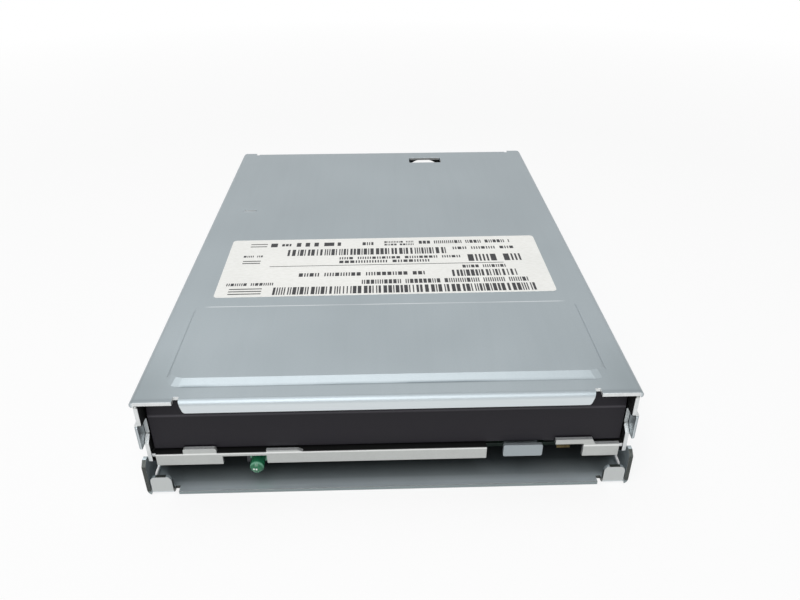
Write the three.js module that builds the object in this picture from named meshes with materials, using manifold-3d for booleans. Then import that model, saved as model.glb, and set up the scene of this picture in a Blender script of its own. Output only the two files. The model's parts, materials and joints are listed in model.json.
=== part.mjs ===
// Bare 3.5 inch floppy disk drive in pressed steel, built up piece by piece.
// Millimetres. X runs to the right seen from the front, Y to the rear, Z up.
// Pieces are drawn from the front plane, Y = 0; the group then moves the origin under the middle of the
// drive.

import * as THREE from 'three';
import { mergeVertices } from 'three/addons/utils/BufferGeometryUtils.js';
import Module from 'manifold-3d';

const wasm = await Module();
wasm.setup();

// Overall size
const overallWidth = 101.6;
const overallLength = 142;
const overallHeight = 25.4;

// Sheet metal and clearances shared by all pieces
const gauge = 0.8;
const bend = 0.4;
const nest = 0.1;
const running = 0.3;
const seam = 0.4;
const overrun = 3;
const reliefWidth = 1;

// Screws
const threadRadius = 1.2;
const headRadius = 2.2;
const headHeight = 1.1;
const mountHoleRadius = 1.5;

// Facets
const filletSteps = 3;
const roundSides = 24;
const smallSides = 10;
const wheelSides = 40;

// Levels that the stack of pieces follows
const panelRise = 0.8;
const coverTop = overallHeight - panelRise;
const coverUnder = coverTop - gauge;
const deckTop = 9.8;
const deckUnder = deckTop - gauge;
const boardUnder = 2.6;
const boardThickness = 1;
const boardTop = boardUnder + boardThickness;
const frontFace = 1.5;
const halfWidth = overallWidth / 2;

// Solids from outlines

const xAxis = new THREE.Vector3(1, 0, 0);
const yAxis = new THREE.Vector3(0, 1, 0);
const zAxis = new THREE.Vector3(0, 0, 1);
const acrossFrame = new THREE.Matrix4().makeBasis(yAxis, zAxis, xAxis);
const alongFrame = new THREE.Matrix4().makeBasis(xAxis, zAxis, yAxis.clone().negate());

// A closed mesh as a solid that can be joined and cut.
function solid(geometry) {
  const bare = geometry.clone();
  bare.deleteAttribute('normal');
  bare.deleteAttribute('uv');
  const merged = mergeVertices(bare);
  return new wasm.Manifold(new wasm.Mesh({
    numProp: 3,
    vertProperties: new Float32Array(merged.attributes.position.array),
    triVerts: new Uint32Array(merged.index.array),
  }));
}

function toGeometry(body) {
  const mesh = body.getMesh();
  const geometry = new THREE.BufferGeometry();
  geometry.setAttribute('position', new THREE.BufferAttribute(mesh.vertProperties, 3));
  geometry.setIndex(new THREE.BufferAttribute(mesh.triVerts, 1));
  geometry.computeVertexNormals();
  return geometry;
}

function join(...bodies) {
  return bodies.flat().reduce((sum, body) => sum.add(body));
}

function cut(body, ...tools) {
  return tools.flat().reduce((rest, tool) => rest.subtract(tool), body);
}

// An outline through corners [a, b, radius], with an arc of that radius at each corner that has one.
function outline(corners) {
  const points = [];
  corners.forEach(([a, b, radius = 0], i) => {
    const here = new THREE.Vector2(a, b);
    if (radius === 0) {
      points.push(here);
      return;
    }
    const before = corners.at(i - 1);
    const after = corners[(i + 1) % corners.length];
    const back = new THREE.Vector2(before[0], before[1]).sub(here).normalize();
    const ahead = new THREE.Vector2(after[0], after[1]).sub(here).normalize();
    const half = Math.acos(THREE.MathUtils.clamp(back.dot(ahead), -1, 1)) / 2;
    const middle = back.clone().add(ahead).normalize();
    const centre = here.clone().addScaledVector(middle, radius / Math.sin(half));
    const start = back.clone().multiplyScalar(radius / Math.tan(half)).add(here).sub(centre);
    const sweep = (Math.PI - 2 * half) * Math.sign(ahead.cross(back));
    for (let step = 0; step <= filletSteps; step += 1) {
      const turned = start.clone().rotateAround(new THREE.Vector2(), (sweep * step) / filletSteps);
      points.push(turned.add(centre));
    }
  });
  return new THREE.Shape(points);
}

function rectangle(a0, a1, b0, b1, radius = 0) {
  return outline([[a0, b0, radius], [a1, b0, radius], [a1, b1, radius], [a0, b1, radius]]);
}

function circle(a, b, radius, sides = roundSides) {
  const points = Array.from({ length: sides }, (_, i) => {
    const turn = (2 * Math.PI * i) / sides;
    return new THREE.Vector2(a + radius * Math.cos(turn), b + radius * Math.sin(turn));
  });
  return new THREE.Shape(points);
}

// A slot with round ends between two centres.
function slot(a0, b0, a1, b1, radius) {
  const run = Math.atan2(b1 - b0, a1 - a0);
  const points = [];
  [[a1, b1, run - Math.PI / 2], [a0, b0, run + Math.PI / 2]].forEach(([a, b, first]) => {
    for (let step = 0; step <= 2 * filletSteps; step += 1) {
      const turn = first + (Math.PI * step) / (2 * filletSteps);
      points.push(new THREE.Vector2(a + radius * Math.cos(turn), b + radius * Math.sin(turn)));
    }
  });
  return new THREE.Shape(points);
}

// Folded sheet seen end on: the path is its outer face, and the metal lies to the left of it.
function folded(path, thickness, radius) {
  const point = ([a, b]) => new THREE.Vector2(a, b);
  const inner = path.map((corner, i) => {
    const normals = [[i - 1, i], [i, i + 1]]
      .filter(([from, to]) => from >= 0 && to < path.length)
      .map(([from, to]) => point(path[to]).sub(point(path[from])).normalize())
      .map((run) => new THREE.Vector2(-run.y, run.x));
    const middle = normals[0].clone().add(normals.at(-1)).normalize();
    const moved = point(corner).addScaledVector(middle, thickness / middle.dot(normals[0]));
    return [moved.x, moved.y];
  });
  const soften = (corners, size) => corners.map(([a, b], i) => {
    const end = i === 0 || i === corners.length - 1;
    return end ? [a, b] : [a, b, size];
  });
  return outline([...soften(path, radius + thickness), ...soften(inner, radius).reverse()]);
}

// The same fold for the left side, from a path drawn for the right side.
function onSide(side, path) {
  return side > 0 ? path : path.map(([a, ...rest]) => [-a, ...rest]).reverse();
}

function extruded(shape, depth) {
  return new THREE.ExtrudeGeometry(shape, { depth, bevelEnabled: false });
}

// Outline in X and Y, from one height to another.
function upright(shape, low, high) {
  return solid(extruded(shape, high - low).translate(0, 0, low));
}

// Outline in Y and Z, from one X to another.
function crosswise(shape, from, to) {
  return solid(extruded(shape, to - from).applyMatrix4(acrossFrame).translate(from, 0, 0));
}

// Outline in X and Z, from one Y to another.
function lengthwise(shape, from, to) {
  return solid(extruded(shape, to - from).applyMatrix4(alongFrame).translate(0, to, 0));
}

function block(x0, x1, y0, y1, z0, z1) {
  return upright(rectangle(x0, x1, y0, y1), z0, z1);
}

// Crosswise between two distances from the middle, on the side given by its sign.
function crosswiseOn(side, shape, near, far) {
  return side > 0 ? crosswise(shape, near, far) : crosswise(shape, -far, -near);
}

function blockOn(side, near, far, y0, y1, z0, z1) {
  return side > 0 ? block(near, far, y0, y1, z0, z1) : block(-far, -near, y0, y1, z0, z1);
}

// A body between two outlines with as many points each.
function loft(lower, upper, low, high) {
  const under = lower.getPoints();
  const over = upper.getPoints();
  const count = under.length;
  const place = [...under.map((p) => [p.x, p.y, low]), ...over.map((p) => [p.x, p.y, high])];
  const faces = [];
  THREE.ShapeUtils.triangulateShape(under, []).forEach(([a, b, c]) => faces.push(a, c, b));
  THREE.ShapeUtils.triangulateShape(over, []).forEach((face) => faces.push(...face.map((p) => p + count)));
  for (let i = 0; i < count; i += 1) {
    const next = (i + 1) % count;
    faces.push(i, next, next + count, i, next + count, i + count);
  }
  const geometry = new THREE.BufferGeometry();
  geometry.setAttribute('position', new THREE.Float32BufferAttribute(place.flat(), 3));
  geometry.setIndex(faces);
  return solid(geometry);
}

// A profile of radius and Y turned about a line along Y.
function turnedAlongY(profile, sides, x, z) {
  const points = profile.map(([radius, y]) => new THREE.Vector2(radius, y));
  return solid(new THREE.LatheGeometry(points, sides)).translate([x, 0, z]);
}

const recessReachShare = 0.6;
const recessWidthShare = 0.14;

// A pan-head screw whose seat is at the given height; facing is 1 with the head up and -1 with the head down.
function screwAlongZ(x, y, seat, reach, facing) {
  const head = [seat, seat + facing * headHeight].sort((a, b) => a - b);
  const shank = [seat, seat - facing * reach].sort((a, b) => a - b);
  const recess = [seat + (facing * headHeight) / 2, seat + facing * (headHeight + overrun)]
    .sort((a, b) => a - b);
  const arm = headRadius * recessReachShare;
  const half = headRadius * recessWidthShare;
  return cut(
    join(
      upright(circle(x, y, headRadius, smallSides), ...head),
      upright(circle(x, y, threadRadius, smallSides), ...shank),
    ),
    block(x - arm, x + arm, y - half, y + half, ...recess),
    block(x - half, x + half, y - arm, y + arm, ...recess),
  );
}

// Coiled wire: a tube of five sides that follows a list of points.
const curlSteps = 8;
const wireSides = 5;
const oblique = [0.31, 0.47, 0.83];

function wire(points, radius) {
  const tangents = points.map((_, i) => {
    const from = points[Math.max(i - 1, 0)];
    const to = points[Math.min(i + 1, points.length - 1)];
    return to.clone().sub(from).normalize();
  });
  const side = new THREE.Vector3(...oblique).cross(tangents[0]).normalize();
  const place = [];
  points.forEach((point, i) => {
    side.addScaledVector(tangents[i], -side.dot(tangents[i])).normalize();
    const other = tangents[i].clone().cross(side);
    for (let k = 0; k < wireSides; k += 1) {
      const turn = (2 * Math.PI * k) / wireSides;
      const spot = point.clone();
      spot.addScaledVector(side, radius * Math.cos(turn));
      spot.addScaledVector(other, radius * Math.sin(turn));
      place.push(spot.x, spot.y, spot.z);
    }
  });
  const faces = [];
  const last = (points.length - 1) * wireSides;
  for (let k = 1; k < wireSides - 1; k += 1) {
    faces.push(0, k + 1, k, last, last + k, last + k + 1);
  }
  for (let i = 0; i < points.length - 1; i += 1) {
    for (let k = 0; k < wireSides; k += 1) {
      const a = i * wireSides + k;
      const b = i * wireSides + ((k + 1) % wireSides);
      faces.push(a, b, b + wireSides, a, b + wireSides, a + wireSides);
    }
  }
  const geometry = new THREE.BufferGeometry();
  geometry.setAttribute('position', new THREE.Float32BufferAttribute(place, 3));
  geometry.setIndex(faces);
  geometry.computeVertexNormals();
  return geometry;
}

// Points of a coil along +Z about the origin, from a start angle.
function coil(radius, pitch, curls, startAngle) {
  return Array.from({ length: curls * curlSteps + 1 }, (_, i) => {
    const turn = startAngle + (2 * Math.PI * i) / curlSteps;
    return new THREE.Vector3(radius * Math.cos(turn), radius * Math.sin(turn), (pitch * i) / curlSteps);
  });
}

// Prints the least gap between neighbouring curls of a coil.
function reportCurlGap(name, points, wireRadius) {
  let least = Infinity;
  points.forEach((point, i) => {
    points.slice(i + curlSteps / 2 + 1).forEach((other) => {
      least = Math.min(least, point.distanceTo(other));
    });
  });
  console.log(`${name}: curls ${(least - 2 * wireRadius).toFixed(2)} mm apart`);
}

// Finishes

const finishes = {
  coverSteel: { color: 0xa5adb1, roughness: 0.42, metalness: 0.85 },
  traySteel: { color: 0x9aa2a4, roughness: 0.45, metalness: 0.85 },
  frameSteel: { color: 0xb8bab8, roughness: 0.4, metalness: 0.85 },
  sliderSteel: { color: 0x9ba3a5, roughness: 0.4, metalness: 0.85 },
  brightSteel: { color: 0xc8cacc, roughness: 0.22, metalness: 0.95 },
  springSteel: { color: 0xa8a8a6, roughness: 0.3, metalness: 0.95 },
  ironCore: { color: 0x5c5f62, roughness: 0.5, metalness: 0.8 },
  magnet: { color: 0x3c3d40, roughness: 0.6, metalness: 0.3 },
  brass: { color: 0xc79a4a, roughness: 0.3, metalness: 0.9 },
  darkPlastic: { color: 0x2f2b32, roughness: 0.55, metalness: 0 },
  blackPlastic: { color: 0x1b1b1d, roughness: 0.5, metalness: 0 },
  whitePlastic: { color: 0xd9d6cd, roughness: 0.5, metalness: 0 },
  ceramic: { color: 0xe6e2d8, roughness: 0.3, metalness: 0 },
  copper: { color: 0xb4673a, roughness: 0.35, metalness: 0.8 },
  board: { color: 0x2c5c3a, roughness: 0.5, metalness: 0 },
  film: { color: 0xb8742c, roughness: 0.4, metalness: 0 },
  paper: { color: 0xf3f2ec, roughness: 0.8, metalness: 0 },
  greenLens: { color: 0x1f7a4d, roughness: 0.15, metalness: 0 },
};

const drive = new THREE.Group();
drive.position.y = -overallLength / 2;

function piece(name, geometry, finish) {
  const mesh = new THREE.Mesh(geometry, new THREE.MeshStandardMaterial(finishes[finish]));
  mesh.name = name;
  drive.add(mesh);
  return mesh;
}

function pressed(name, body, finish) {
  return piece(name, toGeometry(body), finish);
}

// Fastening places that several pieces share

const mountHoleRise = 5;
const mountHoleFront = 21;
const mountHoleSpacing = 70;
const bottomHoleInset = 3.9;
const bottomHoleX = halfWidth - bottomHoleInset;
const mountHoleRows = [mountHoleFront, mountHoleFront + mountHoleSpacing];

const coverInset = 0.3;
const coverHalf = halfWidth - coverInset;
const flangeInner = coverHalf - gauge;
const frameHalf = flangeInner - nest;
const frameInner = frameHalf - gauge;
const footWidth = 5.8;
const footInner = frameHalf - footWidth;
const footScrewInset = 4.4;
const footScrewX = halfWidth - footScrewInset;
const footScrewFront = 36;
const footScrewToRear = 30;
const footScrewRows = [footScrewFront, overallLength - footScrewToRear];
const sheetBend = bend + gauge;

// Bottom tray: shallow pressed pan with low side walls, front ears, corner tabs and a low rear wall.

const trayWallTop = 12.1;
const trayInner = halfWidth - gauge;
const earEdge = 7.8;
const earTop = 8.8;
const earShelfStart = 1.2;
const earShelfEnd = 2.2;
const notchStart = 7.4;
const notchFloor = 3.2;
const notchEnd = 10.2;
const notchRise = 3.6;
const baseSlotFront = 3.9;
const baseSlotRear = 8;
const baseSlotLow = 0.9;
const baseSlotHigh = 2.3;
const tabInnerInset = 5.5;
const tabInner = halfWidth - tabInnerInset;
const tabOuterInset = 1.1;
const tabOuter = halfWidth - tabOuterInset;
const tabHeight = 4.9;
const tabRound = 1.1;
const tabReliefDepth = 1.7;
const rearInset = 4.8;
const rearHalf = halfWidth - rearInset;
const rearRelief = 1.6;
const ribWidth = 3;
const ribRise = 0.5;
const ribRound = 1.3;
const ribPitch = 28;
const frontRibBeforeSpindle = 10;
const ribSteps = [0, 1, 2];
const ribHalfLengthInset = 20.8;
const ribHalfLength = halfWidth - ribHalfLengthInset;
const spindleX = 0;
const spindleToRear = 84;
const spindleY = overallLength - spindleToRear;
const ventRadius = 5;

// Rear connectors, whose openings the tray's rear wall and the boards share.
const mainBoardThickness = 1.2;
const mainBoardTop = boardUnder + mainBoardThickness;
const stepperPlaceShare = 0.384;
const stepperX = -halfWidth * stepperPlaceShare;
const dataBeyondStepper = 13.5;
const dataInset = 4.8;
const dataEnds = [stepperX + dataBeyondStepper, halfWidth - dataInset];
const dataX = (dataEnds[0] + dataEnds[1]) / 2;
const dataHalf = (dataEnds[1] - dataEnds[0]) / 2;
const dataHeight = 7.9;
const powerInset = 7.8;
const powerBeyondStepper = 11.7;
const powerEnds = [powerInset - halfWidth, stepperX - powerBeyondStepper];
const powerX = (powerEnds[0] + powerEnds[1]) / 2;
const powerHalf = (powerEnds[1] - powerEnds[0]) / 2;
const powerHeight = 6.2;
const connectorFace = 0.2;
const connectorY = overallLength - connectorFace;
const connectorGap = 0.5;

const trayPath = [[-halfWidth, trayWallTop], [-halfWidth, 0], [halfWidth, 0], [halfWidth, trayWallTop]];
const traySideOutline = outline([
  [0, 0], [0, earEdge], [earShelfStart, earTop], [earShelfEnd, earTop],
  [notchStart, notchFloor, bend], [notchEnd, notchFloor, sheetBend],
  [notchEnd + notchRise, trayWallTop, bend],
  [overallLength, trayWallTop, sheetBend], [overallLength, 0],
]);

function trayTab(side) {
  const shape = outline(onSide(side, [
    [tabInner, -overrun], [tabOuter, -overrun], [tabOuter, tabHeight, tabRound],
    [tabInner, tabHeight, tabRound],
  ]));
  const strip = folded([[0, tabHeight + overrun], [0, 0], [tabReliefDepth + overrun, 0]], gauge, bend);
  return crosswiseOn(side, strip, tabInner, tabOuter).intersect(lengthwise(shape, -overrun, 2 * overrun));
}

function trayRearWall() {
  const strip = folded([[overallLength - rearRelief - overrun, 0], [overallLength, 0],
    [overallLength, trayWallTop]], gauge, bend);
  const opening = (middle, half, height) => block(
    middle - half - connectorGap, middle + half + connectorGap,
    overallLength - gauge - bend, overallLength + overrun,
    boardUnder - seam, mainBoardTop + height + connectorGap + overrun,
  );
  return cut(
    crosswise(strip, -rearHalf, rearHalf),
    opening(dataX, dataHalf, dataHeight),
    opening(powerX, powerHalf, powerHeight),
  );
}

// A shallow rib pressed up into the floor.
function trayRib(y) {
  const slope = ribRise;
  const at = (grow) => rectangle(-ribHalfLength - grow, ribHalfLength + grow,
    y - ribWidth / 2 - grow, y + ribWidth / 2 + grow, ribRound);
  return {
    hollow: loft(at(slope), at(0), 0, ribRise),
    raised: loft(at(slope + gauge / 2), at(gauge / 2), gauge, gauge + ribRise),
  };
}

function bottomTray() {
  let tray = lengthwise(folded(trayPath, gauge, bend), 0, overallLength)
    .intersect(crosswise(traySideOutline, -halfWidth - overrun, halfWidth + overrun));
  [-1, 1].forEach((side) => {
    tray = cut(
      tray,
      blockOn(side, tabInner - reliefWidth, trayInner, -overrun, tabReliefDepth, -overrun, trayWallTop),
      crosswiseOn(side, rectangle(baseSlotFront, baseSlotRear, baseSlotLow, baseSlotHigh, bend),
        trayInner - bend, halfWidth + overrun),
      mountHoleRows.map((y) => crosswiseOn(side, circle(y, mountHoleRise, mountHoleRadius, smallSides),
        trayInner - overrun, halfWidth + overrun)),
      mountHoleRows.map((y) => upright(circle(side * bottomHoleX, y, mountHoleRadius, smallSides),
        -overrun, overrun)),
      footScrewRows.map((y) => upright(circle(side * footScrewX, y, threadRadius + nest, smallSides),
        -overrun, overrun)),
    );
    tray = join(tray, trayTab(side));
  });
  tray = cut(tray, block(-rearHalf - reliefWidth, rearHalf + reliefWidth, overallLength - rearRelief,
    overallLength + overrun, -overrun, trayWallTop + overrun));
  tray = join(tray, trayRearWall());
  ribSteps.map((step) => spindleY - frontRibBeforeSpindle + step * ribPitch).forEach((y) => {
    const rib = trayRib(y);
    tray = cut(join(tray, rib.raised), rib.hollow);
  });
  return cut(tray, upright(circle(spindleX, spindleY, ventRadius), -overrun, overrun));
}

pressed('bottom_tray', bottomTray(), 'traySteel');

// Top cover: one pressing with side flanges, a front lip between two ears, a rear flange and a raised panel.

const flangeBottom = trayWallTop + seam;
const flangeTabTop = 18.3;
const flangeSetback = 2.4;
const lipInset = 9.9;
const lipHalf = halfWidth - lipInset;
const lipDrop = 2.8;
const lipTaper = 0.8;
const lipRound = 0.6;
const lipRelief = 1.1;
const lipReliefDepth = 1.7;
const panelInset = 6;
const panelHalf = halfWidth - panelInset;
const panelFront = 4.8;
const panelRear = 34.7;
const panelFrontSlope = 1.9;
const panelSideSlope = 0.7;
const panelFrontRound = 3;
const panelRearRound = 1.6;
const coverCornerRound = 1;
const coverRearInset = 6.2;
const coverRearHalf = halfWidth - coverRearInset;
const slotX = 15;
const slotHalf = 5.6;
const slotFrontToRear = 11.2;
const slotFront = overallLength - slotFrontToRear;
const slotRearToRear = 6.6;
const slotRear = overallLength - slotRearToRear;
const slotRound = 0.5;
const notchRadius = 7.9;
const notchCentreRise = 1.6;
const notchSides = 32;
const markInset = 10.3;
const markX = markInset - halfWidth;
const markY = 90.8;
const markHalf = 1.7;
const markWidth = 0.6;

const coverPath = [[coverHalf, flangeBottom], [coverHalf, coverTop], [-coverHalf, coverTop],
  [-coverHalf, flangeBottom]];
const coverSideOutline = outline([
  [0, flangeBottom, bend], [overallLength, flangeBottom, bend], [overallLength, coverTop], [0, coverTop],
  [0, coverTop - sheetBend], [flangeSetback, coverTop - sheetBend, bend], [flangeSetback, flangeTabTop, bend],
  [0, flangeTabTop, bend],
]);

// The raised panel and, with inset metal, its hollow underside.
function panelOutline(inset, front) {
  const half = panelHalf - inset;
  const rear = panelRear - inset;
  return outline([
    [-half, front, panelFrontRound], [half, front, panelFrontRound],
    [half, rear, panelRearRound], [-half, rear, panelRearRound],
  ]);
}

function topCover() {
  let cover = lengthwise(folded(coverPath, gauge, bend), 0, overallLength)
    .intersect(crosswise(coverSideOutline, -coverHalf - overrun, coverHalf + overrun))
    .intersect(upright(rectangle(-coverHalf, coverHalf, 0, overallLength, coverCornerRound), 0, coverTop));
  const lipFold = folded([[lipReliefDepth + overrun, coverTop], [0, coverTop], [0, coverTop - lipDrop]],
    gauge, bend);
  const lipShape = outline([
    [-lipHalf + lipTaper, coverTop - lipDrop, lipRound], [lipHalf - lipTaper, coverTop - lipDrop, lipRound],
    [lipHalf, coverTop], [lipHalf, coverTop + overrun], [-lipHalf, coverTop + overrun], [-lipHalf, coverTop],
  ]);
  const lip = crosswise(lipFold, -lipHalf, lipHalf).intersect(lengthwise(lipShape, -overrun, 2 * overrun));
  const rearFold = folded([[overallLength, flangeBottom], [overallLength, coverTop],
    [overallLength - rearRelief - overrun, coverTop]], gauge, bend);
  const rear = cut(crosswise(rearFold, -coverRearHalf, coverRearHalf),
    lengthwise(circle(slotX, flangeBottom + notchCentreRise, notchRadius, notchSides),
      overallLength - overrun, overallLength + overrun));
  cover = cut(
    cover,
    block(-lipHalf - lipRelief, lipHalf + lipRelief, -overrun, lipReliefDepth, 0, coverTop + overrun),
    block(-coverRearHalf - reliefWidth, coverRearHalf + reliefWidth, overallLength - rearRelief,
      overallLength + overrun, 0, coverTop + overrun),
  );
  cover = join(
    cover,
    lip,
    rear,
    loft(panelOutline(0, panelFront), panelOutline(panelSideSlope, panelFront + panelFrontSlope),
      coverTop, overallHeight),
  );
  return cut(
    cover,
    loft(panelOutline(gauge, panelFront + gauge), panelOutline(panelSideSlope + gauge,
      panelFront + panelFrontSlope + gauge), coverUnder, overallHeight - gauge),
    upright(rectangle(slotX - slotHalf, slotX + slotHalf, slotFront, slotRear, slotRound),
      coverUnder - overrun, coverTop + overrun),
    upright(slot(markX - markHalf, markY, markX + markHalf, markY, markWidth / 2), coverUnder - overrun,
      coverTop + overrun),
  );
}

pressed('top_cover', topCover(), 'coverSteel');

// Paper label on the cover.

const labelInset = 9.1;
const labelHalf = halfWidth - labelInset;
const labelLength = 30.9;
const labelGap = 4.85;
const labelY = panelRear + labelGap + labelLength / 2;
const labelThickness = 0.1;
const labelRound = 1;
const labelTurnDegrees = 0.4;

const label = pressed('cover_label', upright(rectangle(-labelHalf, labelHalf, -labelLength / 2,
  labelLength / 2, labelRound), 0, labelThickness), 'paper');
label.position.set(0, labelY, coverTop);
label.rotation.z = THREE.MathUtils.degToRad(labelTurnDegrees);

// Front flap: plastic door on two pivot pins, with a round barrel along its top.

const flapInset = 2.6;
const flapHalf = halfWidth - flapInset;
const flapFace = 2.6;
const flapWall = 1.5;
const flapBottom = 10.3;
const flapRidge = 19.1;
const pivotY = 4.4;
const pivotZ = 21.9;
const barrelRadius = 1.4;
const pinRadius = 0.8;
const pinEnd = frameHalf - nest;
const flapSpringInnerInset = 16.2;
const flapSpringInner = halfWidth - flapSpringInnerInset;
const flapSpringOuterInset = 11.6;
const flapSpringOuter = halfWidth - flapSpringOuterInset;
const flapWireRadius = 0.16;
const flapCoilRadius = 1.24;
const flapRibShares = [-0.62, -0.21, 0.21, 0.62];
const flapRibWidth = 1.2;
const flapRibDepth = 1;

function frontFlap() {
  const profile = outline([
    [flapFace, flapBottom, bend], [flapFace + flapWall, flapBottom, bend],
    [flapFace + flapWall, pivotZ], [pivotY - barrelRadius, pivotZ], [flapFace, flapRidge, bend],
  ]);
  const rib = outline([
    [flapFace + flapWall - bend, flapBottom + flapWall],
    [flapFace + flapWall + flapRibDepth, flapBottom + 2 * flapWall],
    [flapFace + flapWall + flapRibDepth, pivotZ], [flapFace + flapWall - bend, pivotZ],
  ]);
  const barrel = crosswise(circle(pivotY, pivotZ, barrelRadius), -flapHalf, flapHalf);
  const bayHalf = flapCoilRadius + flapWireRadius + running;
  const springBay = crosswise(rectangle(flapFace - overrun, pivotY + overrun,
    pivotZ - bayHalf, pivotZ + bayHalf), -flapSpringOuter, -flapSpringInner);
  return join(
    cut(join(
      crosswise(profile, -flapHalf, flapHalf),
      barrel,
      flapRibShares.map((share) => flapHalf * share)
        .map((x) => crosswise(rib, x - flapRibWidth / 2, x + flapRibWidth / 2)),
    ), springBay),
    crosswise(circle(pivotY, pivotZ, pinRadius, smallSides), -pinEnd, pinEnd),
  );
}

pressed('front_flap', frontFlap(), 'darkPlastic');

// Flap spring: a torsion coil on the left pin, one leg behind the flap and the other under the cover.

const flapCoilCurls = 4.25;
const flapCoilPitch = 0.85;
const flapRearLeg = 5;
const flapFrontLeg = 2.2;
const springTurn = new THREE.Matrix4().makeBasis(zAxis.clone().negate(), yAxis, xAxis);

function flapSpring() {
  const curl = coil(flapCoilRadius, flapCoilPitch, flapCoilCurls, Math.PI / 2);
  reportCurlGap('flap_spring', curl, flapWireRadius);
  const last = curl.at(-1);
  const touch = flapFace + flapWall + flapWireRadius + running - pivotY;
  const points = [
    new THREE.Vector3(flapRearLeg, touch, 0),
    new THREE.Vector3(flapRearLeg / 2, (touch + flapCoilRadius) / 2, 0),
    ...curl,
    new THREE.Vector3(last.x, last.y - flapFrontLeg, last.z),
  ];
  const from = -(flapSpringOuter + flapSpringInner + flapCoilCurls * flapCoilPitch) / 2;
  return wire(points, flapWireRadius).applyMatrix4(springTurn).translate(from, pivotY, pivotZ);
}

piece('flap_spring', flapSpring(), 'springSteel');

// Main frame: side walls folded in at the foot, and a deck between them whose front edge carries a low
// flange.

const frameTop = coverUnder - running;
const frameFrontTop = 0.2;
const frameUpperBottom = 18.4;
const frameRecess = 3.3;
const spikeTop = 12.9;
const spikeFace = 1.6;
const spikeShoulder = 14.2;
const spikeBottom = 8;
const frameFootStart = 10.4;
const frameRear = overallLength - gauge - running;
const footFront = 12;

const deckRearToRear = 14;
const deckRear = overallLength - deckRearToRear;
const hubHoleRadius = 13.4;
const windowFrontToRear = 65.5;
const windowFront = overallLength - windowFrontToRear;
const windowStepToRear = 58;
const windowStep = overallLength - windowStepToRear;
const windowRearToRear = 20;
const windowRear = overallLength - windowRearToRear;
const windowNarrowHalf = 10;
const windowBeyondRod = 6;
const windowBeyondScrew = 5;
const windowRound = 1;
const tailBeyondStepperLeft = 11.1;
const tailBeyondStepperRight = 13.1;
const deckTailLeft = stepperX - tailBeyondStepperLeft;
const deckTailRight = stepperX + tailBeyondStepperRight;
const deckTailRearToRear = 8;
const deckTailRear = overallLength - deckTailRearToRear;

// Front flange: shapes along X, as seen from the front.
const flangeLow = 6.9;
const flangeEndInset = 2.8;
const flangeEnd = halfWidth - flangeEndInset;
const leftPieceEndInset = 16.4;
const leftPieceEnd = leftPieceEndInset - halfWidth;
const leftTagFromInset = 8.5;
const leftTagFrom = leftTagFromInset - halfWidth;
const leftTagToInset = 15.3;
const leftTagTo = leftTagToInset - halfWidth;
const leftTagTop = 11.1;
const middleFromInset = 25.5;
const middleFrom = middleFromInset - halfWidth;
const middleToInset = 30.5;
const middleTo = halfWidth - middleToInset;
const middleTagToInset = 31.9;
const middleTagTo = middleTagToInset - halfWidth;
const middleTagSlope = 1.1;
const middleTagTop = 10.9;
const ejectCutToInset = 17.4;
const ejectCutTo = halfWidth - ejectCutToInset;
const ejectCutDepth = 4.6;
const bridgeFromInset = 16.2;
const bridgeFrom = halfWidth - bridgeFromInset;
const bridgeToInset = 8.6;
const bridgeTo = halfWidth - bridgeToInset;
const bridgeLow = 10.2;
const bridgeTop = 11.4;
const bridgeSlope = 0.7;
const leafCutToInset = 10.3;
const leafCutTo = halfWidth - leafCutToInset;
const leafCutDepth = 9.4;

// Loading motion, shared by the holder, the slider and the frame's slots.
const sliderTravel = 5.5;
const holderDrop = 2.6;
const holderPinRadius = 0.9;
const holderPinZ = 15.8;
const holderPinFront = 28;
const holderPinToRear = 54;
const holderPinRows = [holderPinFront, overallLength - holderPinToRear];
const holderInset = 4.6;
const holderHalf = halfWidth - holderInset;
const holderGauge = 0.6;
const sliderGauge = 0.6;
const sliderInset = 3.2;
const sliderHalf = halfWidth - sliderInset;
const sliderFront = 22.8;
const footSlotRear = 28.2;

// Stepper motor, which sits in a cut-out at the rear of the deck.
const stepperZ = 7.4;
const stepperRadius = 6.2;
const stepperFrontToRear = 15;
const stepperFront = overallLength - stepperFrontToRear;
const stepperLength = 11;
const bracketScrewReach = 8.8;
const bracketScrewToRear = 11.8;
const bracketScrewY = overallLength - bracketScrewToRear;
const bracketScrews = [-1, 1].map((side) => stepperX + side * bracketScrewReach);

// Guide rods for the head carriage, its travel, and the notch where the head ribbon passes the deck.
const carriageTravel = 15;
const carriageHalf = 7;
const carriageBayRearToRear = 16.6;
const carriageBayRear = overallLength - carriageBayRearToRear;
const rodPlaceShares = [-0.2283, 0.2756];
const rodPlaces = rodPlaceShares.map((share) => halfWidth * share);
const rodZ = 7.4;
const rodRadius = 1.5;
const rodFrontToRear = 62;
const rodFront = overallLength - rodFrontToRear;
const rodRearToRear = 16;
const rodRear = overallLength - rodRearToRear;
const ribbonHalf = 3;

// Sensors pressed by the disk.
const sensorInset = 10.4;
const sensorX = halfWidth - sensorInset;
const sensorY = 32.2;
const plungerRadius = 0.9;

const postRadius = 2.2;
const mainBoardFrontToRear = 45;
const mainBoardFront = overallLength - mainBoardFrontToRear;
const frontPostInset = 12.8;
const frontPostY = 17;
const rearPostInset = 13.8;
const rearPostToRear = 56;
const frontPostX = frontPostInset - halfWidth;
const rearPostX = halfWidth - rearPostInset;
const rearPostY = overallLength - rearPostToRear;
const motorPosts = [[frontPostX, frontPostY], [-rearPostX, rearPostY], [rearPostX, rearPostY]];
const leftPostInset = 11.8;
const leftPostToRear = 22;
const rightPostInset = 12.8;
const rightPostToRear = 38;
const mainPosts = [
  [leftPostInset - halfWidth, overallLength - leftPostToRear],
  [halfWidth - rightPostInset, overallLength - rightPostToRear],
];

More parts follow.
